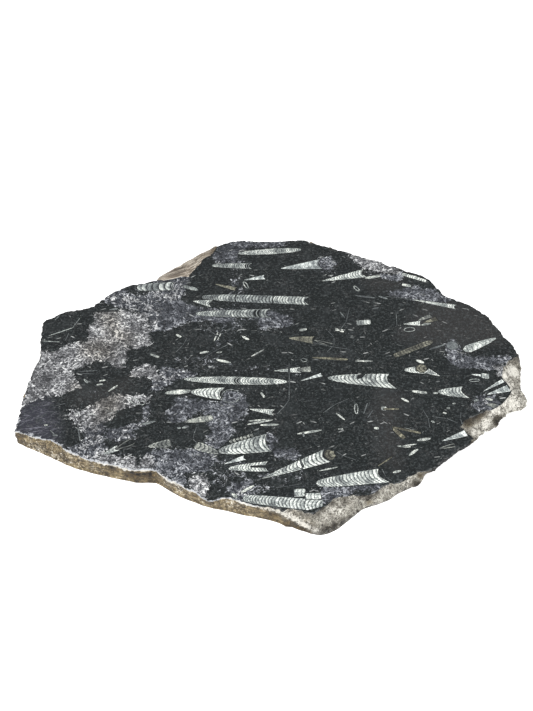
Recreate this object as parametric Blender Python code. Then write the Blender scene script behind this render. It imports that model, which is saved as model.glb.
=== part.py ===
"""A flat slab of black limestone full of straight-shelled fossils.

The stone is one piece. Its top is sawn and polished, its back is sawn flat, and the rim is a natural
break: near-upright walls at the front, left and back, a pale ledge on the right, a pale slope at the
lower right, and one smooth joint face at the back left. The fossils lie flush in the polished face.

Lengths below are in millimetres. +X runs along the slab, +Y away from its front wall, +Z up.
"""

from collections import namedtuple

import bmesh
import bpy
from mathutils import Vector, noise

MM = 0.001

THICKNESS = 22.0
COLUMN_SPACING = 6.0
BANDS = 6

# Rim sections: the bruised arris, how rough the break is and how much of that reaches the foot, how a
# slope bends over, and how far the break keeps from the two flat faces.
ARRIS_DROP = 1.6
ARRIS_OUT = 0.8
EDGE_RAGGED = 0.7
WALL_ROUGH = 1.7
SLOPE_ROUGH = 1.2
FOOT_SHARE = 0.4
SLOPE_BEND = 1.25
SECTION_SMOOTHING = 0.25
FACE_MARGIN = 0.4

# The sizes of the lumps, and how much the thin beds between them count.
EDGE_LUMP = 9.0
LUMP = 18.0
SLOPE_LUMP = 13.0
BED_HEIGHT = 7.0
BED_SHARE = 0.6
OTHER_LUMPS = Vector((70, 0, 0))

# The step between the upper and the lower beds: its level, its height, and the length of its stretches.
STEP_TOP = 14.0
STEP_FALL = 4.0
STEP_LENGTH = 55.0

# The polished edge, stretch by stretch, anticlockwise from the far-left corner of the front wall.
FRONT_EDGE = (
    (-295, -102), (-282, -105), (-269, -111), (-252, -114), (-242, -120), (-233, -129), (-218, -136),
    (-207, -142), (-194, -146), (-176, -149), (-164, -154), (-154, -156), (-140, -155), (-131, -157),
    (-123, -163), (-115, -170), (-104, -175), (-96, -181), (-86, -185), (-80, -192), (-70, -198),
    (-56, -194), (-51, -193), (-40, -196), (-30, -200), (-20, -204), (-7, -205), (1, -207), (9, -212),
)
SLOPE_EDGE = (
    (9, -212), (14, -207), (29, -209), (33, -213), (42, -214), (50, -207), (56, -203), (62, -196),
    (70, -192), (82, -190), (98, -190), (107, -188), (117, -179), (126, -175), (137, -173), (142, -170),
    (149, -164), (158, -160), (168, -158),
)
UNDERCUT_EDGE = (
    (168, -158), (175, -155), (181, -150), (189, -143), (199, -135), (211, -126), (220, -119),
    (226, -112),
)
LEDGE_EDGE = (
    (226, -112), (219, -102), (214, -95), (217, -86), (244, -72), (253, -69), (264, -61), (274, -49),
    (278, -41), (276, -33), (270, -19), (273, -9), (279, 2), (293, 14),
)
BACK_RIGHT_EDGE = (
    (293, 14), (292, 26), (289, 34), (281, 45), (279, 53), (271, 67), (268, 77), (260, 86), (244, 101),
    (223, 112), (214, 118), (211, 126), (205, 135), (199, 145), (190, 153), (167, 163), (158, 169),
    (146, 172), (142, 177), (118, 186), (96, 197), (85, 200), (56, 213), (42, 219), (34, 220),
    (8, 217), (-19, 217), (-38, 219), (-53, 217), (-64, 213), (-74, 207),
)
JOINT_EDGE = (
    (-74, 207), (-79, 194), (-90, 185), (-93, 179), (-96, 172), (-101, 164), (-106, 157), (-109, 151),
    (-117, 151), (-125, 148), (-138, 146), (-150, 144),
)
BACK_LEFT_EDGE = (
    (-150, 144), (-163, 139), (-179, 136), (-194, 128), (-204, 120), (-213, 111), (-221, 103),
    (-229, 95), (-239, 92), (-256, 89), (-266, 84), (-274, 77), (-281, 74), (-285, 67),
)
LEFT_EDGE = (
    (-285, 67), (-284, 50), (-283, 36), (-281, 23), (-281, 10), (-285, -8), (-288, -23), (-290, -41),
    (-292, -59), (-293, -77), (-295, -102),
)

# Where a break slopes out from the polished edge: the line it comes down to, with its height.
SLOPE_SHOULDER = (
    (9, -212, 21), (16, -215, 19), (23, -216, 15), (31, -216, 13), (37, -218, 10), (42, -221, 7),
    (48, -224, 5), (56, -222, 6), (66, -219, 6), (74, -215, 6), (82, -209, 6), (89, -203, 6),
    (95, -197, 6), (110, -192, 7), (126, -187, 8), (134, -182, 8), (139, -175, 8), (144, -169, 9),
    (153, -170, 9), (162, -168, 9), (167, -163, 11), (170, -159, 16),
)
LEDGE_SHOULDER = (
    (228, -112, 19), (232, -102, 9), (239, -96, 8), (250, -90, 8), (259, -83, 8), (265, -74, 9),
    (271, -68, 9), (280, -62, 9), (290, -60, 8), (296, -53, 9), (298, -46, 9), (294, -26, 10),
    (295, -12, 10), (300, 7, 11), (297, 15, 17),
)
JOINT_SHOULDER = ((-76, 227, 6), (-152, 164, 6))

# The feet that don't follow the edge above them, where the stone meets what it lies on.
FRONT_FOOT = (
    (-294, -99), (-284, -106), (-271, -112), (-248, -124), (-223, -137), (-196, -145), (-154, -156),
    (-131, -157), (-116, -166), (-104, -176), (-80, -187), (-65, -191), (-41, -198), (-16, -203),
    (3, -209), (12, -214),
)
SLOPE_FOOT = (
    (12, -214), (24, -218), (36, -223), (47, -226), (56, -225), (62, -222), (74, -214), (85, -204),
    (95, -193), (110, -187), (126, -181), (139, -170), (153, -163), (163, -156), (161, -144),
)

Stretch = namedtuple("Stretch", "edge shoulder foot step rough")

# A stretch's shoulder is None for a wall. Its foot is a line of its own, or its distance out from the
# shoulder at the start and at the end. Its step is how far the lower beds stand out, and its rough is
# how rough the break is beside the rest of the rim.
STRETCHES = (
    Stretch(FRONT_EDGE, None, FRONT_FOOT, step=1.0, rough=1.0),
    Stretch(SLOPE_EDGE, SLOPE_SHOULDER, SLOPE_FOOT, step=0.0, rough=1.0),
    Stretch(UNDERCUT_EDGE, None, (-18.0, -17.0), step=0.0, rough=1.0),
    Stretch(LEDGE_EDGE, LEDGE_SHOULDER, (-12.0, -3.0), step=0.0, rough=1.0),
    Stretch(BACK_RIGHT_EDGE, None, (1.0, 10.0), step=6.0, rough=1.2),
    Stretch(JOINT_EDGE, JOINT_SHOULDER, (0.5, 0.5), step=0.0, rough=0.25),
    Stretch(BACK_LEFT_EDGE, None, (9.0, 1.0), step=5.0, rough=1.2),
    Stretch(LEFT_EDGE, None, (-2.0, -2.0), step=2.0, rough=1.0),
)

# Hollows bitten out of the rim: middle, radius and depth.
HOLLOWS = (
    ((-66, -199, 13), 13, 4.5),
    ((-152, -157, 12), 9, 2.5),
    ((-236, -128, 9), 12, 2.5),
    ((160, -165, 13), 9, 4.0),
    ((103, -192, 13), 12, 3.0),
    ((240, -84, 15), 13, 3.5),
    ((288, -32, 13), 11, 2.5),
    ((60, -210, 12), 12, 2.5),
    ((214, 121, 9), 16, 4.0),
    ((40, 222, 8), 18, 4.0),
    ((-225, 102, 10), 16, 4.0),
    ((-285, -20, 8), 14, 3.0),
)

Column = namedtuple("Column", "point normal offsets step rough")

STONE_COLOUR = (0.021, 0.024, 0.026, 1.0)
STONE_ROUGHNESS = 0.3


def length_shares(points):
    """How far along its line each point is, from 0 to 1."""
    lengths = [0.0]
    for start, end in zip(points, points[1:]):
        lengths.append(lengths[-1] + (end - start).length)
    return [length / lengths[-1] for length in lengths]


def along(points, shares, share):
    """The point this far along a line."""
    for index in range(1, len(points)):
        if share <= shares[index]:
            span = shares[index] - shares[index - 1]
            return points[index - 1].lerp(points[index], (share - shares[index - 1]) / span)
    return points[-1].copy()


def edge_stations(edge):
    """Points and outward normals along a stretch, its own points kept and the gaps filled."""
    line = [Vector((x, y, THICKNESS)) for x, y in edge]
    shares = length_shares(line)
    stations = []
    for index, (start, end) in enumerate(zip(line, line[1:])):
        run = end - start
        normal = Vector((run.y, -run.x, 0)).normalized()
        count = max(1, round(run.length / COLUMN_SPACING))
        for step in range(count):
            part = step / count
            share = shares[index] + (shares[index + 1] - shares[index]) * part
            stations.append((start.lerp(end, part), normal, share))
    return stations


def column_offsets(edge_point, shoulder, foot, bands_above):
    """The section below one point of the edge, as offsets from that point."""
    offsets = []
    reach = shoulder - edge_point
    for band in range(1, bands_above + 1):
        out = band / bands_above
        offsets.append(Vector((reach.x * out, reach.y * out, reach.z * out ** SLOPE_BEND)))
    bands_below = BANDS - bands_above
    for band in range(1, bands_below + 1):
        offsets.append(shoulder.lerp(foot, band / bands_below) - edge_point)
    return offsets


def outward(points, shares, share):
    """The level direction out of the stone, square to a line at this share of it."""
    ahead = along(points, shares, min(share + 0.02, 1.0))
    behind = along(points, shares, max(share - 0.02, 0.0))
    run = ahead - behind
    return Vector((run.y, -run.x, 0)).normalized()


def foot_below(shoulder, normal, share, foot):
    """Where the section meets the back: on the foot's own line, or this far out from the shoulder."""
    if len(foot) > 2:
        line = [Vector((x, y, 0)) for x, y in foot]
        return along(line, length_shares(line), share)
    start, end = foot
    below = shoulder + normal * (start + (end - start) * share)
    below.z = 0.0
    return below


def stretch_columns(stretch):
    """The columns of one stretch: a point of its edge each, with the section below it."""
    sloping = stretch.shoulder is not None
    if sloping:
        shoulder_line = [Vector(point) for point in stretch.shoulder]
        shoulder_shares = length_shares(shoulder_line)
    columns = []
    for point, normal, share in edge_stations(stretch.edge):
        if sloping:
            shoulder = along(shoulder_line, shoulder_shares, share)
            normal = outward(shoulder_line, shoulder_shares, share)
        else:
            shoulder = point + normal * ARRIS_OUT - Vector((0, 0, ARRIS_DROP))
        below = foot_below(shoulder, normal, share, stretch.foot)
        offsets = column_offsets(point, shoulder, below, BANDS // 2 if sloping else 1)
        columns.append(Column(point, normal, offsets, stretch.step, stretch.rough))
    return columns


def softened(columns):
    """Each section drawn a little towards its neighbours', so that one kind of break runs into the next."""
    result = []
    for index, column in enumerate(columns):
        before = columns[index - 1]
        after = columns[(index + 1) % len(columns)]
        offsets = []
        for band, offset in enumerate(column.offsets):
            neighbours = (before.offsets[band] + after.offsets[band]) / 2
            offsets.append(offset.lerp(neighbours, SECTION_SMOOTHING))
        normal = (before.normal + column.normal * 2 + after.normal).normalized()
        step = (before.step + column.step * 2 + after.step) / 4
        rough = (before.rough + column.rough * 2 + after.rough) / 4
        result.append(Column(column.point, normal, offsets, step, rough))
    return result


def roughness_at(point, size):
    """Lumps of this size at a point, about -1 to 1."""
    return noise.noise(point / size) + 0.5 * noise.noise(point / (size * 0.45))


def bed_step(point):
    """How far out of the wall the bed at this point stands, from 0 to 1: the lower beds come and go."""
    length_wise = 0.5 + 0.9 * noise.noise(Vector((point.x, point.y, 0)) / STEP_LENGTH)
    below = (STEP_TOP - point.z) / STEP_FALL
    return min(max(length_wise, 0.0), 1.0) * min(max(below, 0.0), 1.0)


def broken(column, band):
    """A point of a column moved by the roughness of the break, its bed's step and the hollows."""
    normal = column.normal
    if band == 0:
        return column.point + normal * roughness_at(column.point, EDGE_LUMP) * EDGE_RAGGED
    place = column.point + column.offsets[band - 1]
    beds = roughness_at(Vector((place.x / 2, place.y / 2, place.z * 2)), BED_HEIGHT)
    lump = roughness_at(place, LUMP) + BED_SHARE * beds
    rough = column.rough * (FOOT_SHARE if band == BANDS else 1.0)
    moved = place + normal * (lump * WALL_ROUGH * rough + bed_step(place) * column.step)
    if band == BANDS:
        return moved
    rise = roughness_at(place + OTHER_LUMPS, SLOPE_LUMP) * SLOPE_ROUGH * rough
    moved.z = min(max(place.z + rise, FACE_MARGIN), THICKNESS - FACE_MARGIN)
    return moved - normal * hollow_depth(moved)


def hollow_depth(point):
    """How deep the hollows bitten out of the rim are at a point."""
    depth = 0.0
    for middle, radius, deepest in HOLLOWS:
        nearness = 1 - (point - Vector(middle)).length / radius
        depth += deepest * max(nearness, 0.0)
    return depth


def rim_rings():
    """The rings of points round the slab, from the polished edge down to the sawn back."""
    columns = []
    for stretch in STRETCHES:
        columns.extend(stretch_columns(stretch))
    columns = softened(columns)
    return [[broken(column, band) for column in columns] for band in range(BANDS + 1)]


def copies_in_order(corners, grown):
    """The new vertices of an extrusion, in the order of the ones that they were drawn from."""
    new_verts = {item for item in grown if isinstance(item, bmesh.types.BMVert)}
    copies = []
    for corner in corners:
        others = [edge.other_vert(corner) for edge in corner.link_edges]
        copies.append(next(other for other in others if other in new_verts))
    return copies


def slab_mesh():
    """The closed slab: the polished face, the rim drawn down from it band by band, and the back."""
    rings = rim_rings()
    mesh = bmesh.new()
    corners = [mesh.verts.new(point) for point in rings[0]]
    mesh.faces.new(corners)
    for ring in rings[1:]:
        lip = set(corners)
        lip_edges = [edge for edge in mesh.edges if lip.issuperset(edge.verts)]
        grown = bmesh.ops.extrude_edge_only(mesh, edges=lip_edges)["geom"]
        corners = copies_in_order(corners, grown)
        for vert, point in zip(corners, ring):
            vert.co = point
    mesh.faces.new(reversed(corners))
    bmesh.ops.recalc_face_normals(mesh, faces=mesh.faces)
    return mesh


def set_on_origin(mesh):
    """Bring the middle of the slab's footprint box to the origin, and millimetres to metres."""
    xs = [vert.co.x for vert in mesh.verts]
    ys = [vert.co.y for vert in mesh.verts]
    middle = Vector(((min(xs) + max(xs)) / 2, (min(ys) + max(ys)) / 2, 0))
    for vert in mesh.verts:
        vert.co = (vert.co - middle) * MM


def stone_material():
    material = bpy.data.materials.new("black_limestone")
    material.use_nodes = True
    shader = material.node_tree.nodes["Principled BSDF"]
    shader.inputs["Base Color"].default_value = STONE_COLOUR
    shader.inputs["Roughness"].default_value = STONE_ROUGHNESS
    shader.inputs["Metallic"].default_value = 0.0
    return material


def make_slab(collection):
    mesh = slab_mesh()
    set_on_origin(mesh)
    data = bpy.data.meshes.new("fossil_slab")
    mesh.to_mesh(data)
    mesh.free()
    data.materials.append(stone_material())
    slab = bpy.data.objects.new("fossil_slab", data)
    collection.objects.link(slab)
    return slab


def main():
    for item in list(bpy.data.objects):
        bpy.data.objects.remove(item, do_unlink=True)
    collection = bpy.data.collections.new("orthoceras_slab")
    bpy.context.scene.collection.children.link(collection)
    make_slab(collection)


main()
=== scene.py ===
"""The looks of a flat slab of black limestone full of straight-shelled fossils.

The stone is one piece. Its top is polished, its back is sawn, and its rim is a natural break. The fossils
lie flush in the polished face, so they are colour and gloss there and not relief: the face's mesh has a
small patch for each shell, whose corners carry where they lie in the shell and what kind of shell it is,
and the polished finish draws the shell's outline, chambers and mouth from that.

Lengths with MM in their names or comments are in millimetres. Everything else is in metres.
"""

import math
import random
from collections import namedtuple

import bmesh
import bpy
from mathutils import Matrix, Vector, geometry, noise
from mathutils.bvhtree import BVHTree
from mathutils.kdtree import KDTree


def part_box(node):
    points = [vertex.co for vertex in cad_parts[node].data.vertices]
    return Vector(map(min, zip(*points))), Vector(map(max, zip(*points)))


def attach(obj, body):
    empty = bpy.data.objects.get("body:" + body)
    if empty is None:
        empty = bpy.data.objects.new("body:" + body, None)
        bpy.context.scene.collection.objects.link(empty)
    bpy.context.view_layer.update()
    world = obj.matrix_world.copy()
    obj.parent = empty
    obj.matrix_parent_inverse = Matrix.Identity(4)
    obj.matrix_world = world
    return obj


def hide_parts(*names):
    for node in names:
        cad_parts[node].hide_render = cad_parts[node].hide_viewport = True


MM = 0.001
SAME_PLACE = 0.01 * MM

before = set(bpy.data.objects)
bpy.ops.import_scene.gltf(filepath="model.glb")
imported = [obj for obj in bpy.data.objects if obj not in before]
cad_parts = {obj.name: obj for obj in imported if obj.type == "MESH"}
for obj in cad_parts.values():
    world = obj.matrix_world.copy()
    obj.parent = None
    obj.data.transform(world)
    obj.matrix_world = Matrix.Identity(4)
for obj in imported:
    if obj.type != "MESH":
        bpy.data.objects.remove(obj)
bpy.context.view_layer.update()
low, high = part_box("fossil_slab")
FACE_LEVEL = high.z

# The photograph's frame in pixels, and the camera that took it: what it looks at, how far off and how high.
PHOTO_WIDTH = 533
PHOTO_HEIGHT = 711
LENS_MM = 59.0
SENSOR_MM = 36.0
AIM = Vector((-0.0113, 0.0117, FACE_LEVEL))
CAMERA_DISTANCE = 1.4
CAMERA_ELEVATION = math.radians(48.0)

BACKWARD = Vector((0.0, -math.cos(CAMERA_ELEVATION), math.sin(CAMERA_ELEVATION)))
CAMERA_PLACE = AIM + BACKWARD * CAMERA_DISTANCE
RIGHTWARD = Vector((1.0, 0.0, 0.0))
UPWARD = BACKWARD.cross(RIGHTWARD)
FOCAL_PIXELS = LENS_MM / SENSOR_MM * PHOTO_HEIGHT


def clamp(value, least=0.0, most=1.0):
    return min(max(value, least), most)


def bearing_of(place):
    """The direction of a place from the slab's middle, in degrees, anticlockwise from +X."""
    return math.degrees(math.atan2(place.y, place.x))


def sight_through(pixel):
    """The direction in which the camera sees a pixel of the photograph."""
    right = (pixel[0] - PHOTO_WIDTH / 2) / FOCAL_PIXELS
    down = (pixel[1] - PHOTO_HEIGHT / 2) / FOCAL_PIXELS
    return RIGHTWARD * right - UPWARD * down - BACKWARD


def on_face(pixel):
    """Where a pixel of the photograph lies on the polished face, in millimetres."""
    sight = sight_through(pixel)
    reach = (FACE_LEVEL - CAMERA_PLACE.z) / sight.z
    return (CAMERA_PLACE + sight * reach).xy / MM


def make_camera():
    data = bpy.data.cameras.new("camera")
    data.lens = LENS_MM
    data.sensor_width = SENSOR_MM
    camera = bpy.data.objects.new("camera", data)
    camera.location = CAMERA_PLACE
    camera.rotation_euler = (math.pi / 2 - CAMERA_ELEVATION, 0.0, 0.0)
    bpy.context.scene.collection.objects.link(camera)
    bpy.context.scene.camera = camera


# A kind of shell, as shares. belly and taper shape the outline, along ** belly * (1 - along) ** taper.
# mouth is how deep the mouth bites in, beside the half width. pitch is a chamber's length beside the width.
# tint is 1 for brown, 0 for cream and -1 for blue-grey. bright, septa and hollow say how bright it is, how
# dark its partitions are, and how much of its inside is the stone itself.
Kind = namedtuple("Kind", "belly taper mouth pitch tint bright septa hollow")

KINDS = {
    "cone": Kind(0.75, 0.0, 0.6, 0.23, 0.0, 1.1, 0.78, 0.0),
    "blunt_cone": Kind(0.43, 0.0, 0.55, 0.22, 0.0, 1.03, 0.75, 0.0),
    "stout_cone": Kind(0.28, 0.0, 0.55, 0.2, 0.0, 0.98, 0.75, 0.0),
    "shallow_cone": Kind(0.43, 0.0, 0.3, 0.19, 0.0, 1.0, 0.78, 0.0),
    "stout": Kind(0.16, 0.0, 0.0, 0.25, -0.15, 0.93, 0.78, 0.0),
    "dull_cone": Kind(0.6, 0.15, 0.1, 0.4, 0.25, 0.7, 0.3, 0.0),
    "worn_cone": Kind(0.5, 0.1, 0.0, 0.45, 0.15, 0.85, 0.6, 0.5),
    "mottled_cone": Kind(0.5, 0.04, 0.0, 0.5, 0.0, 0.98, 0.4, 0.0),
    "spindle": Kind(0.5, 0.42, 0.0, 0.25, 0.0, 0.99, 0.88, 0.0),
    "tube": Kind(0.3, 0.0, 0.8, 0.25, 0.0, 0.86, 0.82, 0.0),
    "cut_tube": Kind(0.3, 0.0, 0.0, 0.25, 0.0, 0.78, 0.82, 0.0),
    "banded_tube": Kind(0.02, 0.0, 0.0, 0.3, -0.15, 0.74, 1.0, 0.0),
    "barrel": Kind(0.02, 0.0, 0.8, 0.27, 0.0, 0.86, 0.84, 0.0),
    "block": Kind(0.03, 0.03, 0.0, 0.42, 0.0, 1.0, 0.5, 0.0),
    "comb": Kind(0.1, 0.1, 0.0, 0.55, 0.0, 1.15, 1.0, 0.0),
    "coarse_tube": Kind(0.12, 0.0, 0.3, 0.5, -0.15, 0.8, 0.9, 0.0),
    "grey_cone": Kind(0.75, 0.0, 0.4, 0.3, -0.4, 1.05, 0.3, 0.0),
    "brown_cone": Kind(0.6, 0.0, 0.3, 0.4, 0.75, 0.62, 0.4, 0.1),
    "needle": Kind(0.5, 0.5, 0.0, 1.6, 0.1, 0.94, 0.2, 0.0),
    "faint_needle": Kind(0.5, 0.5, 0.0, 1.6, 0.0, 0.66, 0.2, 0.0),
    "grey_needle": Kind(0.5, 0.5, 0.0, 3.0, -0.1, 0.42, 0.0, 0.0),
    "brown_needle": Kind(0.3, 0.2, 0.0, 0.8, 0.9, 0.55, 0.4, 0.0),
    "hair": Kind(0.04, 0.04, 0.0, 3.0, 0.0, 0.36, 0.0, 0.0),
    "chip": Kind(0.2, 0.15, 0.0, 0.6, 0.1, 0.88, 0.3, 0.0),
    "cane": Kind(0.08, 0.05, 0.0, 0.6, 0.7, 0.6, 0.6, 0.25),
    "outline": Kind(0.6, 0.1, 0.0, 1.0, 0.3, 0.5, 0.2, 1.0),
    "ring": Kind(0.5, 0.5, 0.0, 3.0, 0.0, 0.75, 0.0, 1.0),
    "grey_disc": Kind(0.5, 0.5, 0.0, 3.0, -0.3, 0.52, 0.0, 0.0),
    "brown_disc": Kind(0.5, 0.5, 0.0, 0.4, 0.75, 0.62, 0.7, 0.2),
    "gap": Kind(0.5, 0.5, 0.0, 3.0, 0.0, 0.02, 0.0, 0.0),
}

# A shell in the polished face. Its tip and mouth are pixels of the photograph. Its width is in
# millimetres. With a lean, its lower lip runs on further than its upper one. A gap is the share of its
# length at which a chamber was left empty and is black.
Shell = namedtuple("Shell", "tip mouth across kind lean gap", defaults=(0.0, -1.0))

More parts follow.
